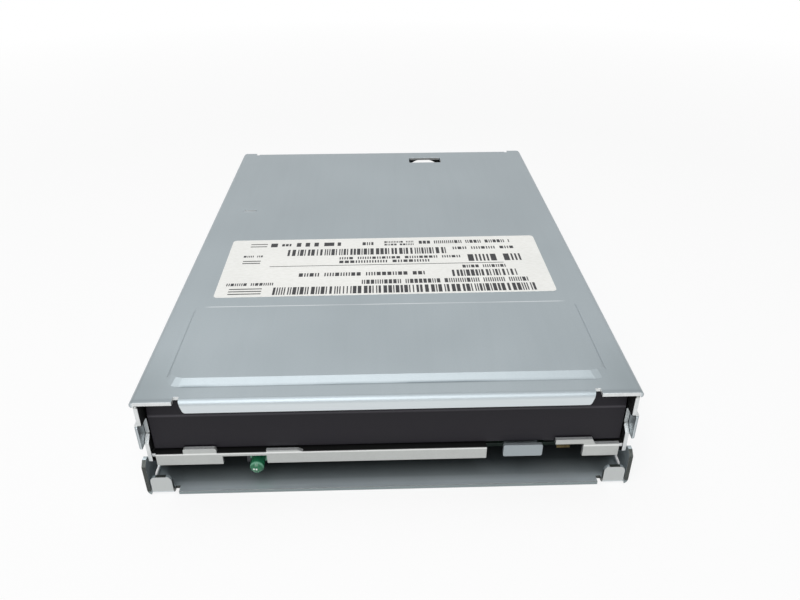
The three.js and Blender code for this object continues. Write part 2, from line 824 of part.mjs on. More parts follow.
const springHookY = 36;
const springInset = 5.8;
const springX = halfWidth - springInset;
const springZ = 21.6;
const hookWidth = 4;
const hookInnerInset = 7.4;
const hookInner = halfWidth - hookInnerInset;

const frameSideOutline = outline([
  [frameFrontTop, frameTop, bend], [frameFrontTop, frameUpperBottom, bend],
  [frameRecess, frameUpperBottom, bend],
  [frameRecess, spikeShoulder, bend], [spikeFace, spikeTop], [spikeFace, spikeBottom],
  [frameFootStart, gauge], [frameRear, gauge], [frameRear, frameTop, bend],
]);

function frameWall(side) {
  const strip = folded(onSide(side, [[footInner, gauge], [frameHalf, gauge], [frameHalf, frameTop]]),
    gauge, bend);
  const wall = lengthwise(strip, 0, frameRear)
    .intersect(crosswise(frameSideOutline, -frameHalf - overrun, frameHalf + overrun));
  const hook = cut(
    blockOn(side, hookInner, frameInner + gauge / 2, springHookY, springHookY + hookWidth,
      springZ - gauge / 2, springZ + gauge / 2),
    upright(circle(side * springX, springHookY + hookWidth / 2, gauge / 2 + nest, smallSides),
      springZ - overrun, springZ + overrun),
  );
  return cut(
    join(wall, hook),
    blockOn(side, footInner - overrun, frameInner, -overrun, footFront, 0, spikeBottom),
    holderPinRows.map((y) => crosswiseOn(side, slot(y, holderPinZ, y, holderPinZ - holderDrop,
      holderPinRadius + nest), frameInner - overrun, frameHalf + overrun)),
    crosswiseOn(side, circle(pivotY, pivotZ, pinRadius + nest, smallSides), frameInner - overrun,
      frameHalf + overrun),
    mountHoleRows.map((y) => crosswiseOn(side, circle(y, mountHoleRise, mountHoleRadius - nest, smallSides),
      frameInner - overrun, frameHalf + overrun)),
    mountHoleRows.map((y) => upright(circle(side * bottomHoleX, y, mountHoleRadius - nest, smallSides), 0,
      overrun)),
    footScrewRows.map((y) => upright(circle(side * footScrewX, y, threadRadius + nest, smallSides), 0,
      overrun)),
  );
}

function deckFlange() {
  const left = outline([
    [-flangeEnd, flangeLow], [leftPieceEnd, flangeLow], [leftPieceEnd, deckTop], [leftTagTo, deckTop],
    [leftTagTo, leftTagTop, bend], [leftTagFrom, leftTagTop, bend], [leftTagFrom, deckTop],
    [-flangeEnd, deckTop],
  ]);
  const middle = outline([
    [middleFrom, flangeLow], [middleTo, flangeLow], [middleTo, deckTop],
    [middleTagTo + middleTagSlope, deckTop],
    [middleTagTo, middleTagTop], [middleFrom, middleTagTop],
  ]);
  const right = outline([
    [leafCutTo, flangeLow], [flangeEnd, flangeLow], [flangeEnd, deckTop + running],
    [bridgeTo + bridgeSlope, deckTop + running], [bridgeTo, bridgeTop], [bridgeFrom, bridgeTop],
    [bridgeFrom, bridgeLow], [leafCutTo, bridgeLow],
  ]);
  return [left, middle, right].map((shape) => lengthwise(shape, frontFace, frontFace + gauge));
}

function frameDeck() {
  const reach = frameInner + gauge / 2;
  const plan = outline([
    [-reach, frontFace + gauge / 2], [-flangeEnd, frontFace + gauge / 2], [-flangeEnd, frontFace],
    [flangeEnd, frontFace], [flangeEnd, frontFace + gauge / 2], [reach, frontFace + gauge / 2],
    [reach, deckRear], [deckTailRight, deckRear], [deckTailRight, deckTailRear], [deckTailLeft, deckTailRear],
    [deckTailLeft, deckRear], [-reach, deckRear],
  ]);
  const posts = [...motorPosts, ...mainPosts];
  const through = (shape) => upright(shape, deckUnder - overrun, deckTop + overrun);
  const deck = cut(
    upright(plan, deckUnder, deckTop),
    through(rectangle(middleTo, ejectCutTo, frontFace - overrun, ejectCutDepth, 0)),
    through(rectangle(ejectCutTo - gauge, leafCutTo, frontFace - overrun, leafCutDepth, 0)),
    through(circle(spindleX, spindleY, hubHoleRadius, wheelSides)),
    through(rectangle(-windowNarrowHalf, windowNarrowHalf, windowFront, windowStep + overrun, windowRound)),
    through(rectangle(stepperX - windowBeyondScrew, rodPlaces[1] + windowBeyondRod, windowStep, windowRear,
      windowRound)),
    through(rectangle(-carriageHalf - reliefWidth, carriageHalf + reliefWidth, windowRear - overrun,
      carriageBayRear, windowRound)),
    through(rectangle(sliderHalf - sliderGauge - running, sliderHalf + running,
      sliderFront - sliderTravel - running, footSlotRear, 0)),
    [-1, 1].map((side) => through(circle(side * sensorX, sensorY, plungerRadius + running, smallSides))),
  );
  return join(
    deck,
    posts.map(([x, y]) => upright(circle(x, y, postRadius, smallSides), postFoot(y), deckUnder + gauge / 2)),
  );
}

// A post stands on the motor board in front and on the thicker main board behind.
function postFoot(y) {
  return y < mainBoardFront ? boardTop : mainBoardTop;
}

function mainFrame() {
  const bores = [...motorPosts, ...mainPosts].map(([x, y]) => upright(circle(x, y,
    threadRadius + nest, smallSides), 0, deckTop + overrun));
  return cut(
    cut(join(frameWall(-1), frameDeck(), frameWall(1), deckFlange()), bores),
    lengthwise(rectangle(stepperX - stepperRadius - running, stepperX + stepperRadius + running, 0,
      stepperZ + stepperRadius + running), stepperFront - gauge - running, overallLength),
    bracketScrews.map((x) => upright(circle(x, bracketScrewY, threadRadius + nest, smallSides), 0,
      deckTop + overrun)),
    block(-ribbonHalf - running, ribbonHalf + running, carriageBayRear - overrun, deckRear + overrun,
      deckUnder - overrun, deckTop + overrun),
  );
}

pressed('main_frame', mainFrame(), 'frameSteel');

// Disk holder: a folded carrier that the disk slides into, with lips under its edges and two pins on each
// side.

const holderFront = 16.9;
const holderRearToRear = 41;
const holderRear = overallLength - holderRearToRear;
const bayFloor = 13.5;
const bayTop = 17.7;
const holderTop = bayTop + holderGauge;
const lipInnerInset = 8.1;
const lipInner = halfWidth - lipInnerInset;
const holderBend = 0.3;
const headSlotHalf = 9.4;
const headSlotFrontToRear = 66;
const headSlotFront = overallLength - headSlotFrontToRear;
const leverInset = 16.8;
const leverX = leverInset - halfWidth;
const leverToRear = 52;
const leverY = overallLength - leverToRear;
const leverReach = 18;
const leverRestDegrees = -25;
const leverSwingDegrees = 35;
const fingerRadius = 0.9;
const fingerMarginDegrees = 6;
const studRadius = 1.5;
const studRise = 3.1;
const leverGauge = 0.7;
const leverUnder = holderTop + running;
const leverTop = leverUnder + leverGauge;
const holderWindowHalf = 12;
const holderWindowLength = 28;
const holderWindowRearToRear = 80;
const holderWindowRear = overallLength - holderWindowRearToRear;

// A slot along an arc about the lever's stud.
function arcSlot(middleX, middleY, reach, half, fromDegrees, toDegrees) {
  const points = [];
  const steps = 4 * filletSteps;
  [[reach + half, 0, steps], [reach - half, steps, 0]].forEach(([radius, first, last]) => {
    const way = Math.sign(last - first);
    for (let step = first; step !== last + way; step += way) {
      const turn = THREE.MathUtils.degToRad(fromDegrees + ((toDegrees - fromDegrees) * step) / steps);
      points.push(new THREE.Vector2(middleX + radius * Math.cos(turn), middleY + radius * Math.sin(turn)));
    }
  });
  return new THREE.Shape(points);
}

function diskHolder() {
  const side = [[lipInner, bayFloor - holderGauge], [holderHalf, bayFloor - holderGauge],
    [holderHalf, holderTop]];
  const open = [-1, 1].map((way) => lengthwise(folded(onSide(way, [...side, [holderBend, holderTop]]),
    holderGauge, holderBend), holderFront, holderRear));
  const through = (shape) => upright(shape, bayTop - overrun / 2, holderTop + overrun);
  return cut(
    join(
      open,
      block(-holderBend - nest, holderBend + nest, holderFront, holderRear, bayTop, holderTop),
      upright(circle(leverX, leverY, studRadius, smallSides), holderTop - holderGauge / 2,
        leverTop + studRise),
      [-1, 1].map((way) => holderPinRows.map((y) => crosswiseOn(way, circle(y, holderPinZ, holderPinRadius,
        smallSides), holderHalf - holderGauge / 2, pinEnd))).flat(),
    ),
    through(rectangle(-headSlotHalf, headSlotHalf, headSlotFront, holderRear + overrun)),
    through(rectangle(-holderWindowHalf, holderWindowHalf, holderWindowRear - holderWindowLength,
      holderWindowRear, gauge)),
    through(arcSlot(leverX, leverY, leverReach, fingerRadius + running,
      leverRestDegrees - fingerMarginDegrees, leverRestDegrees + leverSwingDegrees + fingerMarginDegrees)),
  );
}

pressed('disk_holder', diskHolder(), 'frameSteel');

// Slider: spans the holder, with slanted cam slots for its pins; its right foot passes under the deck to the
// eject tab at the front.

const sliderTop = 19.5;
const sliderBend = 0.3;
const sliderBandRearToRear = 80;
const sliderBandRear = overallLength - sliderBandRearToRear;
const sliderArmInnerInset = 10.6;
const sliderArmInner = halfWidth - sliderArmInnerInset;
const sliderRearToRear = 45;
const sliderRear = overallLength - sliderRearToRear;
const sliderSkid = deckTop + running;
const sliderWindowInset = 23.8;
const sliderWindowHalf = halfWidth - sliderWindowInset;
const sliderWindowShares = [0.286, 0.745];
const sliderTagY = 66;
const sliderTagWidth = 2.8;
const sliderTagTop = 22.6;
const sliderWireRadius = 0.25;
const ejectFootUnder = 8;
const ejectFootFront = 16.9;
const ejectArmFromInset = 26.4;
const ejectArmFrom = halfWidth - ejectArmFromInset;
const ejectArmToInset = 19.4;
const ejectArmTo = halfWidth - ejectArmToInset;
const ejectTabFromInset = 27;
const ejectTabFrom = halfWidth - ejectTabFromInset;
const ejectTabToInset = 18.8;
const ejectTabTo = halfWidth - ejectTabToInset;
const ejectTabLow = 7.2;
const ejectTabTop = 10.2;

function sliderPlate() {
  const path = [[sliderHalf, sliderSkid], [sliderHalf, sliderTop], [-sliderHalf, sliderTop],
    [-sliderHalf, sliderSkid]];
  const plan = outline([
    [-sliderHalf, sliderFront], [sliderHalf, sliderFront], [sliderHalf, sliderRear],
    [sliderArmInner, sliderRear],
    [sliderArmInner, sliderBandRear, sheetBend], [-sliderArmInner, sliderBandRear, sheetBend],
    [-sliderArmInner, sliderRear], [-sliderHalf, sliderRear],
  ]);
  const footTop = ejectFootUnder + sliderGauge;
  const sliderWindow = sliderWindowShares
    .map((share) => sliderFront + (sliderBandRear - sliderFront) * share);
  const body = lengthwise(folded(path, sliderGauge, sliderBend), sliderFront, sliderRear)
    .intersect(upright(plan, 0, sliderTop));
  const tag = (side) => cut(
    blockOn(side, springX - sliderTagWidth / 2, springX + sliderTagWidth / 2, sliderTagY,
      sliderTagY + sliderGauge, sliderTop - sliderGauge / 2, sliderTagTop),
    lengthwise(circle(side * springX, springZ, sliderWireRadius + nest, smallSides), sliderTagY - overrun,
      sliderTagY + overrun),
  );
  const foot = [
    block(sliderHalf - sliderGauge, sliderHalf, sliderFront, footSlotRear - running, ejectFootUnder,
      sliderSkid + sliderGauge),
    block(ejectArmFrom, sliderHalf, ejectFootFront, sliderFront + sliderGauge, ejectFootUnder, footTop),
    block(sliderHalf - sliderGauge - overrun, sliderHalf, sliderFront, footSlotRear - running, ejectFootUnder,
      footTop),
    block(ejectArmFrom, ejectArmTo, frontFace + gauge / 2, ejectFootFront + sliderGauge, ejectFootUnder,
      footTop),
    lengthwise(rectangle(ejectTabFrom, ejectTabTo, ejectTabLow, ejectTabTop, bend), frontFace,
      frontFace + gauge),
  ];
  return cut(
    join(body, tag(-1), tag(1), foot),
    upright(rectangle(-sliderWindowHalf, sliderWindowHalf, ...sliderWindow, gauge),
      sliderSkid, sliderTop + overrun),
    [-1, 1].map((side) => holderPinRows.map((y) => crosswiseOn(side, slot(y, holderPinZ, y + sliderTravel,
      holderPinZ - holderDrop, holderPinRadius + nest), sliderHalf - sliderGauge - overrun / 2,
    sliderHalf + overrun))).flat(),
  );
}

pressed('slider_plate', sliderPlate(), 'sliderSteel');

// Shutter lever: turns on the holder's stud and carries a finger down into the bay; its nose holds the
// slider.

const leverBoss = 3.2;
const leverWidth = 4.4;
const noseReach = sliderArmInner + leverX - leverWidth / 4 - running;
const noseDegrees = 146;
const fingerLow = 14.5;

function shutterLever() {
  const rest = THREE.MathUtils.degToRad(leverRestDegrees);
  const tip = [leverX + leverReach * Math.cos(rest), leverY + leverReach * Math.sin(rest)];
  const arm = slot(leverX, leverY, tip[0], tip[1], leverWidth / 2);
  const noseTurn = THREE.MathUtils.degToRad(noseDegrees);
  const nose = slot(leverX, leverY, leverX + noseReach * Math.cos(noseTurn),
    leverY + noseReach * Math.sin(noseTurn), leverWidth / 4);
  return cut(
    join(
      upright(circle(leverX, leverY, leverBoss), leverUnder, leverTop),
      upright(arm, leverUnder, leverTop),
      upright(nose, leverUnder, leverTop),
      upright(circle(tip[0], tip[1], fingerRadius, smallSides), fingerLow, leverUnder + leverGauge / 2),
    ),
    upright(circle(leverX, leverY, studRadius + nest, smallSides), leverUnder - overrun, leverTop + overrun),
  );
}

pressed('shutter_lever', shutterLever(), 'brightSteel');

// Lever spring: a torsion coil standing on the lever round its stud.

const leverWireRadius = 0.2;
const leverCoilRadius = 2.3;
const leverCoilPitch = 0.85;
const leverCoilCurls = 3;
const leverLeg = 5.5;

function leverSpring() {
  const curl = coil(leverCoilRadius, leverCoilPitch, leverCoilCurls, -Math.PI / 2);
  reportCurlGap('lever_spring', curl, leverWireRadius);
  const first = curl[0];
  const last = curl.at(-1);
  const points = [
    new THREE.Vector3(first.x - leverLeg, first.y, first.z),
    new THREE.Vector3(first.x - leverLeg / 2, first.y, first.z),
    ...curl,
    new THREE.Vector3(last.x + leverLeg / 2, last.y, last.z),
    new THREE.Vector3(last.x + leverLeg, last.y, last.z),
  ];
  return wire(points, leverWireRadius).translate(leverX, leverY, leverTop + leverWireRadius + nest);
}

piece('lever_spring', leverSpring(), 'springSteel');

// Slider springs: tension coils from hooks on the frame's walls to tags on the slider.

const sliderCoilRadius = 1.3;
const sliderCoilPitch = 1.9;
const sliderCoilCurls = 9;
const hookLoop = 0.9;
const alongTurn = new THREE.Matrix4().makeBasis(xAxis.clone().negate(), zAxis, yAxis);

function sliderSpring(side) {
  const near = springHookY + hookWidth / 2;
  const far = sliderTagY + sliderGauge / 2;
  const length = sliderCoilCurls * sliderCoilPitch;
  const start = (far - near - length) / 2;
  const curl = coil(sliderCoilRadius, sliderCoilPitch, sliderCoilCurls, Math.PI / 2);
  if (side > 0) {
    reportCurlGap('slider_spring', curl, sliderWireRadius);
  }
  const points = [
    new THREE.Vector3(0, -hookLoop, 0),
    new THREE.Vector3(0, hookLoop, 0),
    new THREE.Vector3(0, hookLoop, hookWidth / 2 + hookLoop),
    new THREE.Vector3(0, 0, start - hookLoop),
    ...curl.map((point) => point.add(new THREE.Vector3(0, 0, start))),
    new THREE.Vector3(0, 0, start + length + hookLoop),
    new THREE.Vector3(0, 0, far - near + gauge),
    new THREE.Vector3(0, hookLoop, far - near + gauge),
  ];
  return wire(points, sliderWireRadius).applyMatrix4(alongTurn).translate(side * springX, near, springZ);
}

piece('slider_spring_left', sliderSpring(-1), 'springSteel');
piece('slider_spring_right', sliderSpring(1), 'springSteel');

// Motor board: a steel-backed board under the deck that carries the spindle motor, lamp and switches.

const motorBoardInset = 7.8;
const motorBoardHalf = halfWidth - motorBoardInset;
const motorBoardFront = 9.5;
const motorBoardRearToRear = 50;
const motorBoardRear = overallLength - motorBoardRearToRear;
const motorBoardRound = 2;
const boardNotchHalf = 9;
const boardNotchDepth = 3;

function motorBoard() {
  const posts = motorPosts.map(([x, y]) => upright(circle(x, y, threadRadius + nest, smallSides), 0,
    boardTop + overrun));
  const hole = upright(circle(spindleX, spindleY, shaftRadius + nest), 0, boardTop + overrun);
  const notch = upright(rectangle(-boardNotchHalf, boardNotchHalf, motorBoardRear - boardNotchDepth,
    motorBoardRear + overrun), 0, boardTop + overrun);
  const plan = rectangle(-motorBoardHalf, motorBoardHalf, motorBoardFront, motorBoardRear, motorBoardRound);
  return cut(upright(plan, boardUnder, boardTop), posts, hole, notch);
}

// Spindle motor: sleeve, stator and coils stand on the board; cup, magnet, shaft, hub and pin turn together.

const shaftRadius = 2;
const shaftTop = 12.6;
const sleeveFlange = 6;
const sleeveRadius = 4.1;
const sleeveTop = 6.9;
const coreLow = 4.7;
const coreHigh = 6.7;
const yokeRadius = 8.6;
const coreTeeth = 9;
const toothWidth = 1.7;
const toothReach = 17.6;
const shoeReach = 18.7;
const shoeShare = 0.76;
const coilFrom = 9.8;
const coilTo = 15.9;
const coilBulge = 0.55;
const coilWidth = 3.7;
const bobbinInner = 6.6;
const cupTop = 8.2;
const cupGauge = 0.8;
const cupRadius = 22;
const cupLow = 4.3;
const magnetInner = 19.3;
const hubRadius = 12.4;
const hubTop = 11.4;
const hubNeckRadius = 5;
const hubUnder = 9.8;
const hubRimWidth = 1.4;
const hubRimDrop = 0.35;
const pinReach = 10;
const drivePinRadius = 1.2;
const drivePinHead = 1.8;
const drivePinHeadHeight = 0.5;
const drivePinTop = 12.4;
const cupHoles = 6;
const cupHoleRadius = 2.4;
const cupHoleReach = 14;

function around(count, radius, place) {
  return Array.from({ length: count }, (_, i) => {
    const turn = (2 * Math.PI * i) / count;
    return place(spindleX + radius * Math.cos(turn), spindleY + radius * Math.sin(turn), turn);
  });
}

// A body along +X from the spindle, turned round it.
function turnedBar(turn, near, far, width, low, high) {
  const bar = extruded(rectangle(near, far, -width / 2, width / 2), high - low);
  return solid(bar.rotateZ(turn).translate(spindleX, spindleY, low));
}

function bearingSleeve() {
  return cut(
    join(
      upright(circle(spindleX, spindleY, sleeveFlange), boardTop, boardTop + gauge),
      upright(circle(spindleX, spindleY, sleeveRadius), boardTop, sleeveTop),
    ),
    upright(circle(spindleX, spindleY, shaftRadius + nest), 0, sleeveTop + overrun),
  );
}

function statorCore() {
  const ring = cut(
    upright(circle(spindleX, spindleY, shoeReach, wheelSides), coreLow, coreHigh),
    upright(circle(spindleX, spindleY, toothReach, wheelSides), 0, coreHigh + overrun),
  );
  const pitch = (2 * Math.PI * shoeReach) / coreTeeth;
  const openings = around(coreTeeth, 0, (x, y, turn) => turnedBar(turn + Math.PI / coreTeeth,
    yokeRadius + overrun, shoeReach + overrun, pitch * (1 - shoeShare), 0, coreHigh + overrun));
  const teeth = around(coreTeeth, 0, (x, y, turn) => turnedBar(turn, sleeveRadius + overrun,
    toothReach + gauge / 2, toothWidth, coreLow, coreHigh));
  return cut(
    join(cut(ring, openings), teeth, upright(circle(spindleX, spindleY, yokeRadius, wheelSides), coreLow,
      coreHigh)),
    upright(circle(spindleX, spindleY, sleeveRadius + nest), 0, coreHigh + overrun),
  );
}

function statorCoils() {
  const low = coreLow - nest - coilBulge;
  const high = coreHigh + nest + coilBulge;
  const bobbin = cut(
    upright(circle(spindleX, spindleY, coilFrom + gauge, wheelSides), coreHigh + nest, high),
    upright(circle(spindleX, spindleY, bobbinInner), 0, high + overrun),
  );
  const coils = around(coreTeeth, 0, (x, y, turn) => turnedBar(turn, coilFrom, coilTo, coilWidth, low, high));
  const teeth = around(coreTeeth, 0, (x, y, turn) => turnedBar(turn, coilFrom - overrun, coilTo + overrun,
    toothWidth + 2 * nest, coreLow - nest, coreHigh + nest));
  return cut(join(bobbin, coils), teeth);
}

function rotorCup() {
  return cut(
    upright(circle(spindleX, spindleY, cupRadius, wheelSides), cupLow, cupTop),
    upright(circle(spindleX, spindleY, cupRadius - cupGauge, wheelSides), 0, cupTop - cupGauge),
    upright(circle(spindleX, spindleY, shaftRadius + nest), 0, cupTop + overrun),
    around(cupHoles, cupHoleReach, (x, y) => upright(circle(x, y, cupHoleRadius, smallSides), 0,
      cupTop + overrun)),
  );
}

function rotorMagnet() {
  return cut(
    upright(circle(spindleX, spindleY, cupRadius - cupGauge - nest, wheelSides), cupLow, cupTop - cupGauge),
    upright(circle(spindleX, spindleY, magnetInner, wheelSides), 0, cupTop + overrun),
  );
}

function spindleHub() {
  return cut(
    join(
      upright(circle(spindleX, spindleY, hubRadius, wheelSides), hubUnder, hubTop),
      upright(circle(spindleX, spindleY, hubNeckRadius), cupTop, hubTop),
    ),
    cut(
      upright(circle(spindleX, spindleY, hubRadius - hubRimWidth, wheelSides), hubTop - hubRimDrop,
        hubTop + overrun),
      upright(circle(spindleX, spindleY, hubNeckRadius), 0, hubTop + overrun),
    ),
    upright(circle(spindleX, spindleY, shaftRadius + nest), 0, hubTop + overrun),
    upright(circle(spindleX + pinReach, spindleY, drivePinRadius + nest, smallSides), 0, hubTop + overrun),
  );
}

function drivePin() {
  const x = spindleX + pinReach;
  return join(
    upright(circle(x, spindleY, drivePinRadius, smallSides), hubUnder - drivePinHeadHeight, drivePinTop),
    upright(circle(x, spindleY, drivePinHead, smallSides), hubUnder - nest - drivePinHeadHeight,
      hubUnder - nest),
  );
}

pressed('motor_board', motorBoard(), 'board');
pressed('bearing_sleeve', bearingSleeve(), 'brass');
pressed('stator_core', statorCore(), 'ironCore');
pressed('stator_coils', statorCoils(), 'copper');
pressed('rotor_cup', rotorCup(), 'brightSteel');
pressed('rotor_magnet', rotorMagnet(), 'magnet');
pressed('spindle_shaft', upright(circle(spindleX, spindleY, shaftRadius), boardUnder, shaftTop),
  'brightSteel');
pressed('spindle_hub', spindleHub(), 'brightSteel');
pressed('drive_pin', drivePin(), 'brightSteel');

// Head carriage: a moulded sledge on two guide rods, with a follower on the lead screw and a flag for
// track zero.

const noseFrontToRear = 49.5;
const noseFront = overallLength - noseFrontToRear;
const noseUnder = 8.8;
const carriageUnder = 5.4;
const carriageTop = 10.5;
const carriageLowRearToRear = 22.4;
const carriageLowRear = overallLength - carriageLowRearToRear;
const carriageTail = 6.6;
const carriageRearToRear = 17.8;
const carriageRear = overallLength - carriageRearToRear;
const noseRamp = 1.6;
const earInner = 5;
const earFrontToRear = 22.5;
const earFront = overallLength - earFrontToRear;
const hingeToRear = 20.2;
const hingeY = overallLength - hingeToRear;
const hingeZ = 15;
const earRound = 1.8;
const bearingRadius = 2.6;
const bearingFrontToRear = 39;
const bearingFront = overallLength - bearingFrontToRear;
const bearingRearToRear = 27;
const bearingRear = overallLength - bearingRearToRear;
const webUnder = 5.8;
const webTop = 8.8;
const screwX = stepperX;
const screwRadius = 1.5;
const journalRadius = 0.9;
const nutReach = 2.9;
const nutFrontToRear = 36;
const nutFront = overallLength - nutFrontToRear;
const nutRearToRear = 32;
const nutRear = overallLength - nutRearToRear;
const flagBeyondRod = 9.4;
const flagX = rodPlaces[1] + flagBeyondRod;
const flagHalf = 0.4;
const flagLow = 4.7;
const flagTop = 7.6;
const flagFrontToRear = 36;
const flagFront = overallLength - flagFrontToRear;
const flagRearToRear = 30;
const flagRear = overallLength - flagRearToRear;
const carriageWindowHalf = 4;
const carriageWindowFrontToRear = 40;
const carriageWindowFront = overallLength - carriageWindowFrontToRear;
const carriageWindowRearToRear = 30;
const carriageWindowRear = overallLength - carriageWindowRearToRear;
const armLiftDegrees = 12;

function headCarriage() {
  const side = outline([
    [noseFront, noseUnder], [windowStep + carriageTravel + running, noseUnder],
    [windowStep + carriageTravel + noseRamp, carriageUnder], [carriageLowRear, carriageUnder],
    [carriageLowRear, carriageTail], [carriageRear, carriageTail], [carriageRear, carriageTop],
    [noseFront, carriageTop, bend],
  ]);
  const ear = outline([
    [earFront, carriageTop - gauge], [carriageRear, carriageTop - gauge],
    [carriageRear, hingeZ + 2 * gauge, earRound], [earFront, hingeZ + 2 * gauge, earRound],
  ]);
  const through = (shape, y0, y1) => lengthwise(shape, y0 - overrun, y1 + overrun);
  return cut(
    join(
      crosswise(side, -carriageHalf, carriageHalf),
      [-1, 1].map((way) => crosswiseOn(way, ear, earInner, carriageHalf)),
      rodPlaces.map((x) => lengthwise(circle(x, rodZ, bearingRadius), bearingFront, bearingRear)),
      block(rodPlaces[0], rodPlaces[1], bearingFront, bearingRear, webUnder, webTop),
      lengthwise(circle(screwX, rodZ, nutReach), nutFront, nutRear),
      block(screwX, rodPlaces[0], nutFront, nutRear, webUnder, webTop),
      block(rodPlaces[1], flagX + flagHalf, flagFront + gauge, flagRear - gauge, flagTop - gauge, flagTop),
      block(flagX - flagHalf, flagX + flagHalf, flagFront, flagRear, flagLow, flagTop),
    ),
    rodPlaces.map((x) => through(circle(x, rodZ, rodRadius + nest, smallSides), bearingFront, bearingRear)),
    through(circle(screwX, rodZ, screwRadius + running, smallSides), nutFront, nutRear),
    crosswise(circle(hingeY, hingeZ, pinRadius + nest, smallSides), -carriageHalf - overrun,
      carriageHalf + overrun),
    upright(rectangle(-carriageWindowHalf, carriageWindowHalf, carriageWindowFront, carriageWindowRear,
      gauge), 0, carriageTop + overrun),
  );
}

// Heads: ceramic sliders with two rails, one on the carriage's nose and one under the arm.

const headHalf = 3.2;
const headHeightLow = 2;
const headFrontToRear = 48;
const headFront = overallLength - headFrontToRear;
const headRearToRear = 42;
const headRear = overallLength - headRearToRear;
const railInner = 0.8;
const railDepth = 0.3;
const headGap = 0.2;
const headTop = carriageTop + headHeightLow;

function headOutline(base, face) {
  const groove = face - Math.sign(face - base) * railDepth;
  const points = [[-headHalf, base], [headHalf, base], [headHalf, face], [railInner, face],
    [railInner, groove], [-railInner, groove], [-railInner, face], [-headHalf, face]];
  return outline(face > base ? points : points.reverse());
}

// Head arm, drawn level as it lies on the disk; at rest it is lifted about its hinge.

const armUnder = 14.7;
const armGauge = 1;
const armFrontToRear = 49;
const armFront = overallLength - armFrontToRear;
const armRearToRear = 21.7;
const armRear = overallLength - armRearToRear;
const armTipHalf = 3.6;
const armHalf = 4.6;
const armBarrel = 1.8;
const armRibHeight = 0.9;
const armPinEnd = carriageHalf;

function lifted(mesh) {
  mesh.geometry.translate(0, -hingeY, -hingeZ);
  mesh.position.set(0, hingeY, hingeZ);
  mesh.rotation.x = -THREE.MathUtils.degToRad(armLiftDegrees);
}

function headArm() {
  const plan = outline([[-armTipHalf, armFront, gauge], [armTipHalf, armFront, gauge], [armHalf, armRear],
    [-armHalf, armRear]]);
  const ribs = [-1, 1].map((side) => blockOn(side, armTipHalf - gauge, armTipHalf, headRear, armRear,
    armUnder, armUnder + armGauge + armRibHeight));
  return join(
    upright(plan, armUnder, armUnder + armGauge),
    ribs,
    crosswise(circle(hingeY, hingeZ, armBarrel), -armHalf, armHalf),
    crosswise(circle(hingeY, hingeZ, pinRadius, smallSides), -armPinEnd, armPinEnd),
  );
}

pressed('head_carriage', headCarriage(), 'blackPlastic');
pressed('lower_head', lengthwise(headOutline(carriageTop, headTop), headFront, headRear), 'ceramic');
lifted(pressed('head_arm', headArm(), 'whitePlastic'));
lifted(pressed('upper_head', lengthwise(headOutline(armUnder - running, headTop + headGap),
  headFront, headRear), 'ceramic'));

// Arm spring: a leaf over the hinge that presses the arm down.

const leafGauge = 0.25;
const leafHalf = 6.2;
const leafLow = 12.4;
const leafCorner = 18;
const leafTipToRear = 26.4;
const leafTipY = overallLength - leafTipToRear;
const leafTipRise = 0.6;
const leafBend = 0.5;
const leafRear = carriageRear + leafGauge;

pressed('arm_spring', crosswise(folded([[leafRear, leafLow], [leafRear, leafCorner],
  [leafTipY, leafCorner + leafTipRise]], leafGauge, leafBend), -leafHalf, leafHalf), 'springSteel');

// Guide rods and the straps that hold them up against the deck.

const strapFronts = { front: rodFront + running, rear: windowRear + running };
const strapWidth = 3.4;
const strapLow = 5.2;
const strapFloor = 0.7;
const strapEnd = 3.4;
const strapClearLeft = 1.2;
const strapClearRight = 3.6;
const seatMouthShare = 0.95;

function rodStrap(y) {
  const left = rodPlaces[0];
  const right = rodPlaces[1];
  const seatRadius = rodRadius + nest;
  const body = rectangle(left - strapEnd, right + strapEnd, strapLow, deckUnder);
  const trough = rectangle(-carriageHalf - strapClearLeft, carriageHalf + strapClearRight,
    strapLow + strapFloor, deckUnder + overrun);
  return cut(
    lengthwise(body, y, y + strapWidth),
    lengthwise(trough, y - overrun, y + strapWidth + overrun),
    rodPlaces.map((x) => [
      lengthwise(circle(x, rodZ, seatRadius, smallSides), y - overrun, y + strapWidth + overrun),
      block(x - seatRadius * seatMouthShare, x + seatRadius * seatMouthShare,
        y - overrun, y + strapWidth + overrun, rodZ, deckUnder + overrun),
    ]).flat(),
  );
}

pressed('guide_rod_left', lengthwise(circle(rodPlaces[0], rodZ, rodRadius, smallSides), rodFront, rodRear),
  'brightSteel');
pressed('guide_rod_right', lengthwise(circle(rodPlaces[1], rodZ, rodRadius, smallSides), rodFront, rodRear),
  'brightSteel');
pressed('rod_strap_front', rodStrap(strapFronts.front), 'blackPlastic');
pressed('rod_strap_rear', rodStrap(strapFronts.rear), 'blackPlastic');

// Stepper motor, its bracket on the deck, and the lead screw between the motor and a bearing under the deck.

const bearingBlockHalf = 2.9;
const bearingBlockLow = 4.8;
const journalLength = 3.2;
const screwTurns = 4;
const screwLead = carriageTravel / screwTurns;
const threadSides = 8;
const threadDepth = 0.4;
const bracketEarRearToRear = 9.4;
const bracketEarRear = overallLength - bracketEarRearToRear;
const bracketEarOuter = 11;
const bracketLow = 1.6;
const bracketTop = 12.6;
const motorBossRadius = 2.4;
const terminalHalf = 4;
const terminalHeight = 2.2;

